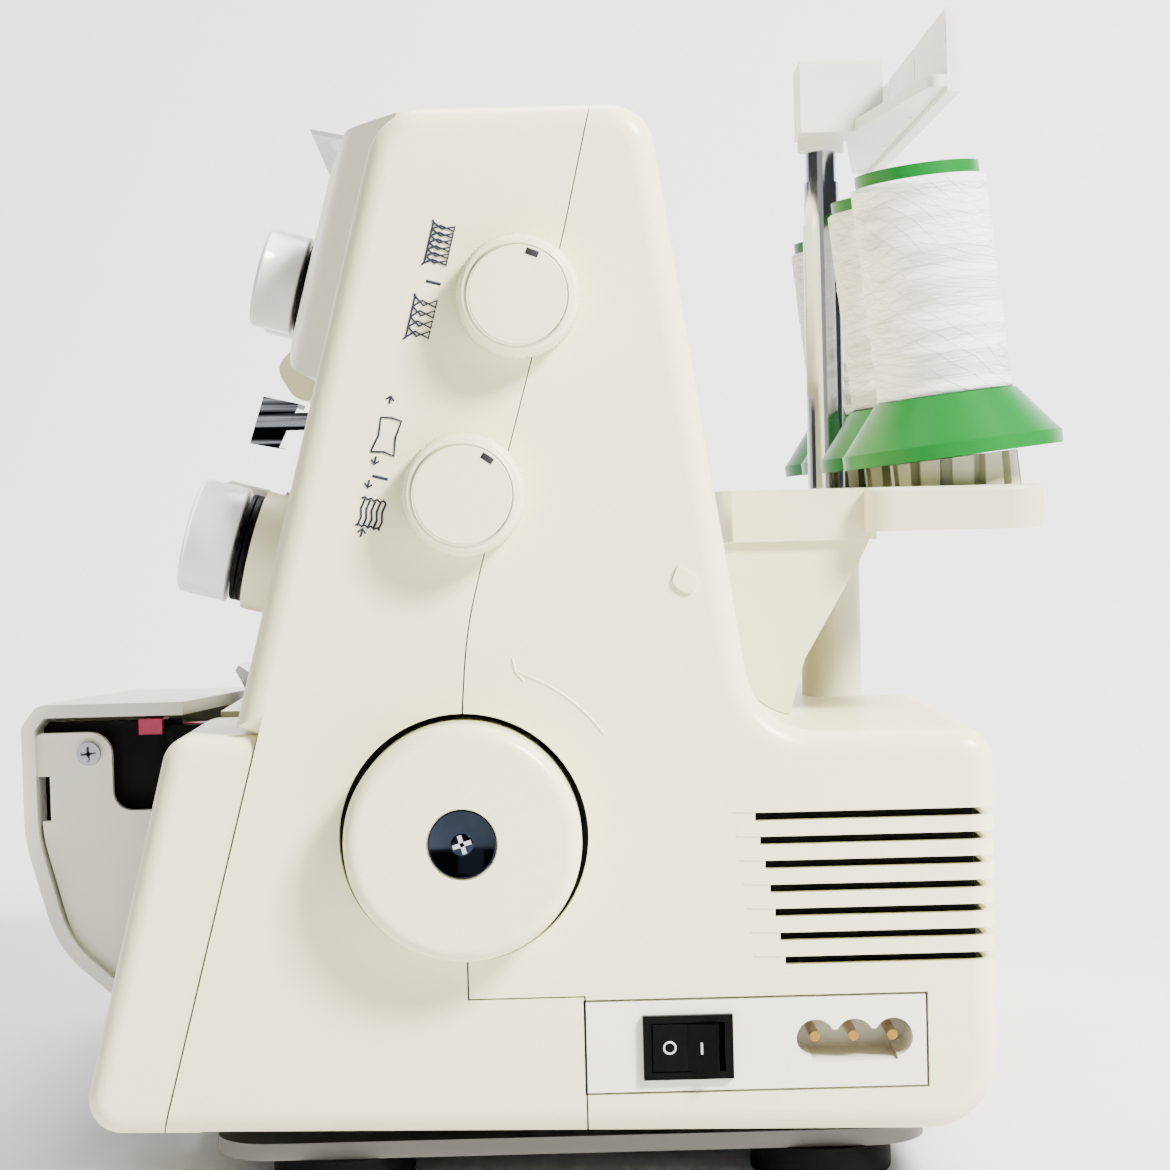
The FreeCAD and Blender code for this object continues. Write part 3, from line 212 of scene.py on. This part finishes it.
def moulded(name, colour, roughness=0.34, grain=0.25):
    """Moulded plastic: faint mottling, and the fine texture of the mould."""
    finish = Finish(name, roughness=roughness, coat_weight=0.12, coat_roughness=0.18)
    finish.tint(finish.noise(14.0, detail=3.0), shade(colour, 0.985), shade(colour, 1.01))
    finish.set(roughness=finish.noise(90.0) * 0.10 + (roughness - 0.05))
    finish.bump(finish.noise(2600.0, detail=1.0), grain, 0.04 * MM)
    return finish


def dress(finish, *nodes):
    """Give CAD pieces their finish."""
    for node in nodes:
        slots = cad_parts[node].data.materials
        slots.clear()
        slots.append(finish.material)


# The pan's dark grey is painted shade for the shadow under the machine.
pan = moulded("pan_plastic", rgb(104, 101, 92), 0.5)
dress(pan, "base_pan")
rubber = Finish("foot_rubber", roughness=0.65, specular_ior_level=0.05)
rubber.tint(rubber.noise(60.0), rgb(4, 4, 5), rgb(8, 8, 9))
rubber.bump(rubber.noise(1800.0), 0.3, 0.05 * MM)
dress(rubber, "rubber_feet")


# The works. The frame is an aluminium casting, and its shaft runs in pressed bronze bushes.
# Levers, knives and plates are ground steel; the bars, needles, foot and loopers that the
# thread touches are chrome plated.
def metal(name, colour, roughness, grain=0.0):
    finish = Finish(name, metallic=1.0, roughness=roughness)
    finish.tint(finish.noise(40.0), shade(colour, 0.93), colour)
    finish.set(roughness=finish.noise(220.0) * 0.12 + (roughness - 0.04))
    if grain:
        finish.bump(finish.noise(1500.0), grain, 0.03 * MM)
    return finish


# The frame's grey is darkened as painted shade, so the works seen through the vent slots look dark.
cast = metal("cast_frame", rgb(88, 90, 94), 0.5, 0.6)
dress(cast, "machine_frame")
bronze = metal("bronze", rgb(176, 134, 84), 0.35)
dress(bronze, "bearing_bushes")
steel = metal("bright_steel", rgb(168, 170, 175), 0.26, 0.2)
dress(steel, "main_shaft", "arm_rocker", "needle_plate", "upper_knife", "lower_knife", "feed_dogs")
chrome = metal("chrome_steel", rgb(196, 198, 203), 0.09)
dress(chrome, "needle_bar", "needle_clamp", "needles", "presser_bar", "presser_foot",
      "upper_looper", "lower_looper")

# The motor is bolted to the frame. Its can is given black as painted shade for the dark inside
# the casing that shows through the vent slots. Its rotor is ground steel, and a belt of black
# rubber carries the rotor's turn to the main shaft.
black = Finish("black_plastic", roughness=0.4, specular_ior_level=0.06)
black.tint(black.noise(70.0), rgb(2, 2, 3), rgb(5, 5, 6))
black.bump(black.noise(2400.0), 0.2, 0.04 * MM)
# The motor's black is painted shade for the inside of the casing.
dress(black, "motor_body")
dress(steel, "motor_rotor")
dress(rubber, "drive_belt")

# The covers of the casing are warm white ABS from textured moulds, clipped and screwed over
# the frame, with thin joint lines between them. The foot's lever is of the same plastic, and
# the looper cover on its hinge rod is a little greyer.
cream = moulded("cream_plastic", rgb(239, 235, 191))
dress(cream, "front_cover", "rear_cover", "arm_cover", "head_cover", "bed_cover", "cloth_plate",
      "front_corner_cover", "foot_lifter")
cover_white = moulded("cover_plastic", rgb(228, 225, 212), 0.3)
dress(cover_white, "looper_cover")
dress(steel, "case_screws", "cover_hinge_rod")

# Marks on the side cover: an arrow raised in the moulding round the handwheel, closed grooves
# that run on from the vent slots, and stitch symbols printed in slate ink by the knobs.
SIDE = 131.5
WHEEL = (-18.2, 84.4)
ARROW_RADIUS = 40.6
ARROW_TIP = (-5.3, 122.9)
VENTS = 7
VENT_PITCH = 5.63
SYMBOL_LEAN = 0.26


def line(name, strokes, width, finish, depth=0.6):
    """Thin round strokes that lie part sunk in the side cover, from (y, z) points in mm."""
    curve = bpy.data.curves.new(name, "CURVE")
    curve.dimensions = "3D"
    curve.bevel_depth = width * MM / 2
    curve.bevel_resolution = 2
    curve.use_fill_caps = True
    for points in strokes:
        spline = curve.splines.new("POLY")
        spline.points.add(len(points) - 1)
        for point, (y, z) in zip(spline.points, points):
            point.co = ((SIDE + width * (0.5 - depth)) * MM, y * MM, z * MM, 1.0)
    made = bpy.data.objects.new(name, curve)
    bpy.context.scene.collection.objects.link(made)
    curve.materials.append(finish.material)
    return made


def arc(centre, radius, start, end, steps=28):
    turns = [math.radians(start + (end - start) * i / steps) for i in range(steps + 1)]
    return [(centre[0] + radius * math.sin(a), centre[1] + radius * math.cos(a)) for a in turns]


def symbol(origin, points):
    """Points given across and up from a corner, on axes that lean with the front of the case."""
    return [(origin[0] + x + SYMBOL_LEAN * z, origin[1] + z - SYMBOL_LEAN * x)
            for x, z in points]


def stitch(origin, rows, pitch, width):
    """A run of overlock stitches: two wavy edges joined by cross threads."""
    strokes = []
    for i in range(rows):
        z = i * pitch
        strokes.append(symbol(origin, [(0, z), (width * 0.35, z + pitch * 0.75),
                                       (width, z + pitch * 0.35), (width, z + pitch * 1.05),
                                       (width * 0.45, z + pitch * 0.3), (0, z + pitch)]))
    top = rows * pitch
    strokes.append(symbol(origin, [(-0.5, -0.6), (0, 0), (0, top), (-0.3, top + 0.5)]))
    return strokes


arrow = [arc(WHEEL, ARROW_RADIUS, 18.5, 55), [ARROW_TIP, (-5.9, 126.0)], [ARROW_TIP, (-3.4, 120.6)]]
raised_arrow = line("turning_arrow", arrow, 0.7, cream)
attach(raised_arrow, "casing")
grooves = [[(44.5 + 0.72 * i, 89.0 - VENT_PITCH * i), (49.4 + 1.0 * i, 88.8 - VENT_PITCH * i)]
           for i in range(VENTS)]
raised_grooves = line("vent_ribs", grooves, 0.6, cream)
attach(raised_grooves, "casing")

slate = Finish("slate_ink", roughness=0.6, specular_ior_level=0.2)
slate.tint(slate.noise(400.0), rgb(30, 36, 52), rgb(40, 46, 62))
printed = stitch((-23.9, 217.8), 6, 1.55, 4.9) + stitch((-28.6, 200.8), 4, 2.35, 5.0)
stretched_cloth = [(0, 0), (0.9, 4), (0.5, 8.0), (2.9, 8.4), (5.2, 8.2), (4.7, 4.2), (5.3, 0.2),
                   (2.8, 0.6), (0, 0)]
printed.append(symbol((-37.4, 174.6), stretched_cloth))
for middle, turn in (((-32.6, 186.4), 1), ((-36.4, 172.6), -1), ((-38.1, 167.2), -1),
                     ((-40.0, 155.9), 1)):
    printed += [symbol(middle, [(0, -0.9 * turn), (0, 0.9 * turn)]),
                symbol(middle, [(-0.9, 0), (0, 0.9 * turn), (0.9, 0)])]
gathered_cloth = (-41.0, 157.6)
for i in range(5):
    x = 1.2 * i
    fold = [(x, 0), (x + 0.45, 2.0), (x, 4.0), (x + 0.4, 6.2)]
    printed.append(symbol(gathered_cloth, fold))
for z in (0.0, 6.2):
    hem = [(-0.4 + 0.7 * i, z + 0.5 * (i % 2)) for i in range(9)]
    printed.append(symbol(gathered_cloth, hem))
symbols = line("stitch_symbols", printed, 0.5, slate, 0.35)
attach(symbols, "casing")
bars = [symbol((-23.6, 213.6), [(0, 0), (3.4, 0)]), symbol((-37.2, 169.0), [(0, 0), (3.6, 0)])]
printed_bars = line("range_bars", bars, 0.95, slate, 0.8)
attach(printed_bars, "casing")

# The mains inlet. A white panel is let into the side cover, and the socket's moulding with
# its three brass pins sits behind the panel's opening. The looper cover's end plate is of the
# same white.
white = moulded("white_plastic", rgb(242, 240, 222), 0.30)
dress(white, "power_panel", "looper_cover_plate")
# The socket is a darker cream than the panel, partly its own tone and partly painted shade for its
# place in the recess.
socket_painted_shade = moulded("socket_plastic", rgb(218, 213, 192), 0.4)
dress(socket_painted_shade, "inlet_socket")
brass = metal("brass_pin", rgb(158, 118, 50), 0.22)
dress(brass, "inlet_pins")

# The mains switch is a black rocker that tips in a snap-in bezel. A white ring and a white
# stroke are printed on its two halves, which slope down to the middle.
ROCKER_TILT = math.radians(-12)
ROCKER_MIDDLE = (32.8, 34.4)
ROCKER_HALF = 7.8
ROCKER_LOW = 1.5
ROCKER_RISE = 1.5
RING_RADIUS = 1.35
RING_STROKE = 0.22
RING_ACROSS = -4.0
STROKE_SIZE = (0.3, 0.45, 2.7)
STROKE_ACROSS = 3.6
dress(black, "switch_bezel", "switch_rocker")
mark_white = Finish("mark_white", roughness=0.5)
mark_white.tint(mark_white.noise(300.0), rgb(214, 214, 212), rgb(226, 226, 224))


def on_rocker(form, across):
    """Lay a mark made in the YZ plane on one half of the rocker's face."""
    slope = math.atan(ROCKER_RISE / ROCKER_HALF) * (1 if across > 0 else -1)
    out = ROCKER_LOW + abs(across) * ROCKER_RISE / ROCKER_HALF
    verts = form.verts
    bmesh.ops.rotate(form, verts=verts, cent=(0, 0, 0), matrix=Matrix.Rotation(-slope, 3, "Z"))
    bmesh.ops.translate(form, verts=verts, vec=(out, across, 0))
    bmesh.ops.rotate(form, verts=verts, cent=(0, 0, 0), matrix=Matrix.Rotation(ROCKER_TILT, 3, "Z"))
    bmesh.ops.translate(form, verts=verts, vec=(SIDE, *ROCKER_MIDDLE))
    bmesh.ops.scale(form, verts=verts, vec=(MM, MM, MM))
    return form


form = bmesh.new()
quarter = math.radians(90)
bmesh.ops.create_circle(form, cap_ends=False, segments=8, radius=RING_STROKE)
bmesh.ops.translate(form, verts=form.verts, vec=(RING_RADIUS, 0, 0))
bmesh.ops.rotate(form, verts=form.verts, cent=(0, 0, 0), matrix=Matrix.Rotation(quarter, 3, "X"))
bmesh.ops.spin(form, geom=form.verts[:] + form.edges[:], cent=(0, 0, 0), axis=(0, 0, 1),
               angle=math.radians(360), steps=40, use_merge=True, dvec=(0, 0, 0))
bmesh.ops.rotate(form, verts=form.verts, cent=(0, 0, 0), matrix=Matrix.Rotation(quarter, 3, "Y"))
ring = piece("off_mark", on_rocker(form, RING_ACROSS), mark_white, 60)
form = bmesh.new()
bmesh.ops.create_cube(form, size=1.0)
bmesh.ops.scale(form, verts=form.verts, vec=STROKE_SIZE)
stroke = piece("on_mark", on_rocker(form, STROKE_ACROSS), mark_white, 60)
for mark in (ring, stroke):
    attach(mark, "rocker_switch")

# Painted shade: the looper bay behind the cover is lined with black sheet that stands for the
# deep shade in it. A black screen stands inside the cover's end, and a black sheet behind the
# vent slots, as painted shade too.
COVER_SHADE_START = 57.0
COVER_SHADE_THICK = 1.2
COVER_SHADE_OUTLINE = [(-98.5, 38.5), (-105.7, 38.5), (-120.4, 51.6), (-123.4, 56.8), (-129.4, 80.2),
                  (-129.6, 106.1), (-128.2, 107.9), (-93.5, 107.9), (-93.5, 96.0), (-98.5, 92.0)]
BAY_END = ((59.0, -97.6, 70.0), (60.2, -82.5, 106.6))
BAY_BACK = ((20.0, -95.5, 32.0), (64.0, -93.5, 100.0))
VENT_SHADE = ((125.6, 46.0, 50.0), (127.4, 101.0, 91.5))


def softened(form, radius):
    """Round all edges of a form in mm, and bring it to metres."""
    bmesh.ops.bevel(form, geom=form.edges[:], offset=radius, segments=2, affect="EDGES",
                    profile=0.5, material=-1)
    bmesh.ops.scale(form, verts=form.verts, vec=(MM, MM, MM))
    return form


# This black stands for shade: painted shade in the bay, inside the cover's end and behind the vent
# slots.
bay_black = Finish("bay_black", roughness=0.6, specular_ior_level=0.1)
bay_black.tint(bay_black.noise(90.0), rgb(6, 6, 7), rgb(11, 11, 12))
form = bmesh.new()
outline = form.faces.new([form.verts.new((COVER_SHADE_START, y, z)) for y, z in COVER_SHADE_OUTLINE])
drawn = bmesh.ops.extrude_face_region(form, geom=[outline])["geom"]
bmesh.ops.translate(form, verts=picked(drawn, bmesh.types.BMVert), vec=(COVER_SHADE_THICK, 0, 0))
cover_shade = piece("looper_cover_painted_shade", softened(form, 0.2), bay_black)
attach(cover_shade, "cover")
form = bmesh.new()
for low, high in (BAY_END, BAY_BACK, VENT_SHADE):
    bay_shade = bmesh.ops.create_cube(form, size=1.0)["verts"]
    bmesh.ops.scale(form, verts=bay_shade, vec=[b - a for a, b in zip(low, high)])
    bmesh.ops.translate(form, verts=bay_shade, vec=[(a + b) / 2 for a, b in zip(low, high)])
bay_shade = piece("looper_bay_painted_shade", softened(form, 0.3), bay_black)
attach(bay_shade, "casing")

# The finger lever is a small moulding of glossy pink plastic. It slides in the looper bay
# and draws the stitch finger in and out.
pink = Finish("pink_plastic", roughness=0.3)
pink.tint(pink.noise(70.0), rgb(158, 14, 62), rgb(172, 20, 70))
dress(pink, "finger_lever")

# The tension dials: glossy white caps with a smooth skirt and a slightly domed face. Each
# turns on a steel stud that stands out of the casing, over a pair of black tension discs.
DIAL_PROFILE = [(13.6, -12.0), (14.1, -11.6), (14.1, -1.5), (13.95, -0.8), (13.5, -0.35),
                (12.9, -0.15), (9.0, -0.04), (4.0, 0.0)]
DIAL_TILT = math.radians(15.2)
DIAL_AXIS = (0, -math.cos(DIAL_TILT), math.sin(DIAL_TILT))


def turned(profile, segments=96):
    """A closed form about Z, drawn out of a disc through (radius, height) steps in mm."""
    form = bmesh.new()
    bmesh.ops.create_circle(form, cap_ends=True, segments=segments, radius=profile[0][0])
    form.faces.ensure_lookup_table()
    cap = form.faces[0]
    bmesh.ops.translate(form, verts=form.verts, vec=(0, 0, profile[0][1]))
    for (radius, height), (last_radius, last_height) in zip(profile[1:], profile):
        grown = bmesh.ops.extrude_face_region(form, geom=[cap])["geom"]
        cap = picked(grown, bmesh.types.BMFace)[0]
        ratio = radius / last_radius
        bmesh.ops.scale(form, verts=cap.verts, vec=(ratio, ratio, 1))
        bmesh.ops.translate(form, verts=cap.verts, vec=(0, 0, height - last_height))
    return form


def stand(form, place, axis, spin=0.0):
    """Turn a form's Z to an axis and set its origin at a place given in mm."""
    way = Vector(axis).normalized().to_track_quat("Z", "Y").to_matrix().to_4x4()
    matrix = (Matrix.Translation(Vector(place) * MM) @ way @ Matrix.Rotation(spin, 4, "Z")
              @ Matrix.Scale(MM, 4))
    bmesh.ops.transform(form, matrix=matrix, verts=form.verts)
    return form


dress(steel, "tension_studs")
dress(black, "tension_discs")
dial_white = moulded("dial_plastic", rgb(241, 241, 240), 0.22, 0.12)
for node, body, face in (("left_needle_dial", "dial_left_needle", (-46.0, -77.8, 228.2)),
                         ("right_needle_dial", "dial_right_needle", (-12.0, -77.8, 228.2)),
                         ("upper_looper_dial", "dial_upper_looper", (55.0, -84.3, 156.3)),
                         ("lower_looper_dial", "dial_lower_looper", (96.5, -84.3, 156.3))):
    form = stand(turned(DIAL_PROFILE, 128), face, DIAL_AXIS)
    cap = piece(node + "_cap", form, dial_white, 40)
    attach(cap, body)
    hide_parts(node)

# The stitch length and differential feed knobs. Each is one cream moulding with a fine knurled
# rim and a smooth cap let into its face, and a small notch in the cap points at the scale. The
# notch is filled with black as painted shade for its recess.
KNOB_RADIUS = 14.4
KNOB_CAP = 11.3
KNOB_FACE = 9.2
KNOB_BASE = SIDE + 0.3
KNOB_TEETH = 84
KNOB_KNURL = 0.42
NOTCH_SIZE = (0.3, 3.0, 1.5)
NOTCH_ROUNDING = 0.12
NOTCH_INSET = 1.3
KNOB_PROFILE = [(KNOB_RADIUS, 0), (KNOB_RADIUS, 4.2), (KNOB_RADIUS, 5.4), (13.75, 6.2),
                (13.1, 8.4), (12.6, 8.9), (KNOB_CAP + 0.35, 9.0), (KNOB_CAP + 0.3, 8.5),
                (KNOB_CAP, 8.5), (KNOB_CAP, 9.0), (KNOB_CAP - 0.25, KNOB_FACE), (6.0, 9.28)]


def knurl(form, radius, teeth, depth):
    """Press notches into a rim, by drawing every other point of it inwards."""
    for vert in form.verts:
        if abs(vert.co.xy.length - radius) < 0.02:
            step = round(math.atan2(vert.co.y, vert.co.x) / (math.pi / teeth))
            if step % 2:
                vert.co.xy *= 1 - depth / radius


knob_cream = moulded("knob_plastic", rgb(239, 235, 191), 0.3)
# Black that fills the knob notches and the end plate screw's cross: painted shade in these
# recesses.
recess_painted_shade = Finish("recess_painted_shade", roughness=0.5)
recess_painted_shade.tint(recess_painted_shade.noise(300.0), rgb(16, 16, 17), rgb(24, 24, 25))
for node, body, centre, pointer in (
        ("stitch_length_knob", "stitch_knob", (-2.4, 209.3), math.radians(20.5)),
        ("differential_feed_knob", "feed_knob", (-16.1, 164.1), math.radians(35.5))):
    form = turned(KNOB_PROFILE, 2 * KNOB_TEETH)
    knurl(form, KNOB_RADIUS, KNOB_TEETH, KNOB_KNURL)
    rim = piece(node + "_turned", stand(form, (KNOB_BASE, *centre), (1, 0, 0)), knob_cream, 28)
    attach(rim, body)
    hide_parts(node)
    form = bmesh.new()
    bmesh.ops.create_cube(form, size=1.0)
    bmesh.ops.scale(form, verts=form.verts, vec=NOTCH_SIZE)
    bmesh.ops.bevel(form, geom=form.edges[:], offset=NOTCH_ROUNDING, segments=2,
                    affect="EDGES", profile=0.5, material=-1)
    bmesh.ops.translate(form, verts=form.verts, vec=(0, 0, KNOB_CAP - NOTCH_INSET))
    bmesh.ops.rotate(form, verts=form.verts, cent=(0, 0, 0),
                     matrix=Matrix.Rotation(-pointer, 3, "X"))
    bmesh.ops.translate(form, verts=form.verts, vec=(KNOB_BASE + KNOB_FACE, *centre))
    bmesh.ops.scale(form, verts=form.verts, vec=(MM, MM, MM))
    notch = piece(node + "_notch", form, recess_painted_shade)
    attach(notch, body)

# The handwheel is one cream moulding on the end of the main shaft. A chrome washer sits in its
# middle, held by a cross-head screw whose cross is left bright. Washer and screw head are tinted
# dark navy as a painted reflection of dark surroundings.
WASHER_PROFILE = [(7.9, 0), (7.9, 0.5), (7.4, 0.78), (7.2, 0.7), (3.6, 0.7)]
WASHER_SEAT = 142.35
SCREW_SEAT = 142.5
SCREW_TURN = 0.3
CROSS_LONG = 1.25
CROSS_WIDE = 0.28


def cross_screw(name, place, radius, body, head_finish, recess_finish):
    """A domed cross-head screw that faces right, and the cross that is struck into it."""
    domed = [(radius * 0.94, 0), (radius, 0.12), (radius * 0.92, 0.5), (radius * 0.6, 0.72),
             (radius * 0.2, 0.78)]
    form = stand(turned(domed, 48), place, (1, 0, 0), SCREW_TURN)
    head = piece(name, form, head_finish, 40)
    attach(head, body)
    form = bmesh.new()
    for wide, tall in ((CROSS_LONG, CROSS_WIDE), (CROSS_WIDE, CROSS_LONG)):
        bar = bmesh.ops.create_cube(form, size=1.0)["verts"]
        bmesh.ops.scale(form, verts=bar, vec=(wide * radius, tall * radius, 0.5))
        bmesh.ops.translate(form, verts=bar, vec=(0, 0, 0.56))
    recess = piece(name + "_recess", stand(form, place, (1, 0, 0), SCREW_TURN), recess_finish)
    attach(recess, body)


wheel_cream = moulded("wheel_plastic", rgb(239, 235, 191), 0.28)
dress(wheel_cream, "handwheel")
# The dark navy tint of this chrome is a painted reflection of dark surroundings.
chrome_painted_dark = Finish("chrome_with_painted_dark_reflection", metallic=1.0, roughness=0.12)
chrome_painted_dark.tint(chrome_painted_dark.noise(120.0), rgb(26, 31, 40), rgb(40, 46, 56))
form = stand(turned(WASHER_PROFILE, 72), (WASHER_SEAT, *WHEEL), (1, 0, 0))
washer = piece("handwheel_washer", form, chrome_painted_dark, 30)
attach(washer, "wheel_shaft")
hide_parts("handwheel_screw")
cross_screw("handwheel_screw_head", (SCREW_SEAT, *WHEEL), 3.5, "wheel_shaft", chrome_painted_dark, chrome)

# The screw that holds the looper cover's end plate is bright steel with a domed cross head.
# It is driven into the cover from the right, near the plate's top.
END_PLATE_SCREW = (64.0, -117.0, 100.0)
dress(steel, "looper_cover_screw")
# Its cross is filled with black as painted shade in the recess.
cross_screw("end_plate_screw_head", END_PLATE_SCREW, 3.1, "cover", steel, recess_painted_shade)

# The spool stand. Its tray, brackets and cone holders are cream mouldings, clipped to the rear
# cover, and the three stages of its pole are chrome plated tube. Their cream is darkened as
# painted shade, for the lesser light that reaches them set back from the side cover.
# The same cream as the casing, darkened as painted shade.
stand_cream_painted_shade = moulded("stand_plastic", rgb(208, 203, 172), 0.4)
dress(stand_cream_painted_shade, "spool_stand_tray", "stand_bracket", "cone_holders")
dress(chrome, "pole_tube", "pole_middle", "pole_top")

# The thread cones are hollow mouldings of green polypropylene with a satin face. They drop
# over the pins of the cone holders.
green = Finish("green_plastic", roughness=0.3, specular_ior_level=0.2)
green.tint(green.noise(30.0), rgb(0, 96, 30), rgb(1, 106, 37))
green.bump(green.noise(1800.0), 0.15, 0.04 * MM)
dress(green, "thread_cones")

# The thread on each cone is wound crosswise in fine white turns, a little loose at its ends.
# It is spun polyester, so it is matt, and single strands that cross the turns are painted as thin
# darker lines, painted shade along them, and raised in the bump.
CONES = 4
CONE_PITCH = 57.4
CONE_TILT = math.radians(6.3)
CONE_AXIS = Vector((0, -math.sin(CONE_TILT), math.cos(CONE_TILT)))
STAND_MIDDLE = -14.5
CONE_SEAT = (106.4, 171.05)
THREAD_START = 15.6
THREAD_HEIGHT = 54.3
THREAD_RADIUS = 17.15
THREAD_LAYERS = 27
LAYER_HEIGHT = 2.0
# Strands that cross the turns: their slope round the cone and their number along it.
STRANDS = ((9.0, 23.0), (-8.0, 19.0), (17.0, 11.0))
thread = Finish("white_thread", roughness=0.75, sheen_weight=0.2)
winding = thread.node("ShaderNodeUVMap", {"uv_map": "winding"}, {})
around = thread.node("ShaderNodeSeparateXYZ", {}, {"Vector": winding}, "X")
along = Wire(thread, around.socket.node.outputs["Y"])
fibres = thread.noise(1.0, 4.0, thread.stretched(winding, (9.0, 105.0, 1.0)))
drift = thread.noise(30.0, 3.0) * 3.0
strands = []
for slope, pitch in STRANDS:
    wave = along.math("SINE", (along * pitch + around * slope + drift) * math.tau) * 0.5 + 0.5
    strands.append(along.math("POWER", wave, 22.0) * (thread.noise(38.0 + pitch) > 0.5))
loose = along.math("MAXIMUM", along.math("MAXIMUM", strands[0], strands[1]), strands[2])
# Along the crossing strands the tone is lowered: painted shade.
tone = along.math("SMOOTH_MIN", (fibres - 0.25) * 2.2 + 0.1, 1.0) - loose * 0.35
thread.tint(tone, rgb(204, 205, 202), rgb(250, 250, 248))
thread.bump(fibres + loose * 0.5, 0.6, 0.4 * MM)
random.seed(11)
for i in range(CONES):
    start = Vector((STAND_MIDDLE + CONE_PITCH * (i - 1.5), *CONE_SEAT)) + CONE_AXIS * THREAD_START
    profile = [(16.9, 0), (17.25, 0.4)]
    for k in range(1, THREAD_LAYERS):
        swell = random.uniform(-0.12, 0.14) - 0.03 * k / THREAD_LAYERS
        profile.append((THREAD_RADIUS + swell, LAYER_HEIGHT * k))
    profile += [(17.05, 53.9), (16.5, THREAD_HEIGHT), (12.0, 54.35)]
    form = turned(profile)
    chart = form.loops.layers.uv.new("winding")
    for face in form.faces:
        middle = face.calc_center_median()
        turn = math.atan2(middle.y, middle.x) / math.tau
        for loop in face.loops:
            point = loop.vert.co
            angle = math.atan2(point.y, point.x) / math.tau
            angle += round(turn - angle)
            loop[chart].uv = (angle, point.z / THREAD_HEIGHT)
    wound = piece("thread_package_%d" % (i + 1), stand(form, start, CONE_AXIS), thread, 60)
    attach(wound, "casing")
    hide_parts("thread_packages")

# The milky thread tree turns on top of the pole. A clear guide with a dark line along its edge
# is clipped on the arm, and a blued steel plate below it guides the needle threads. The plate's
# dark and bright bands are painted reflections.
GUIDE_EDGE = (7.2, -54.9, 265.0)
GUIDE_SLOPE = (0, 11.4, -2.4)
GUIDE_EDGE_LENGTH = 10.8
GUIDE_EDGE_RADIUS = 0.55
milky = Finish("milky_plastic", roughness=0.3, subsurface_weight=0.3,
               subsurface_radius=(1.0, 1.0, 1.0), subsurface_scale=0.002)
milky.tint(milky.noise(20.0), rgb(222, 222, 217), rgb(230, 230, 226))
milky.set(roughness=milky.noise(90.0) * 0.1 + 0.26)
dress(milky, "thread_tree")
clear = Finish("clear_plastic", roughness=0.15, transmission_weight=0.6, ior=1.46)
clear.tint(clear.noise(40.0), rgb(205, 210, 216), rgb(216, 220, 226))
dress(clear, "top_thread_guide")
form = bmesh.new()
bmesh.ops.create_cone(form, cap_ends=True, segments=10, radius1=GUIDE_EDGE_RADIUS,
                      radius2=GUIDE_EDGE_RADIUS, depth=GUIDE_EDGE_LENGTH)
edge_line = piece("thread_guide_edge", stand(form, GUIDE_EDGE, GUIDE_SLOPE), bay_black)
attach(edge_line, "casing")
blued_with_painted_reflections = Finish("blued_steel_painted_reflections", metallic=1.0, roughness=0.12)
# Stretched noise bands from nearly black to near white: painted reflections on the plate.
reflection_bands = blued_with_painted_reflections.noise(1.0, 1.0, blued_with_painted_reflections.stretched(blued_with_painted_reflections.place, (10.0, 9.0, 700.0)))
blued_with_painted_reflections.tint(reflection_bands * 7.0 - 3.2, rgb(10, 10, 13), rgb(206, 208, 212))
dress(blued_with_painted_reflections, "thread_plate")
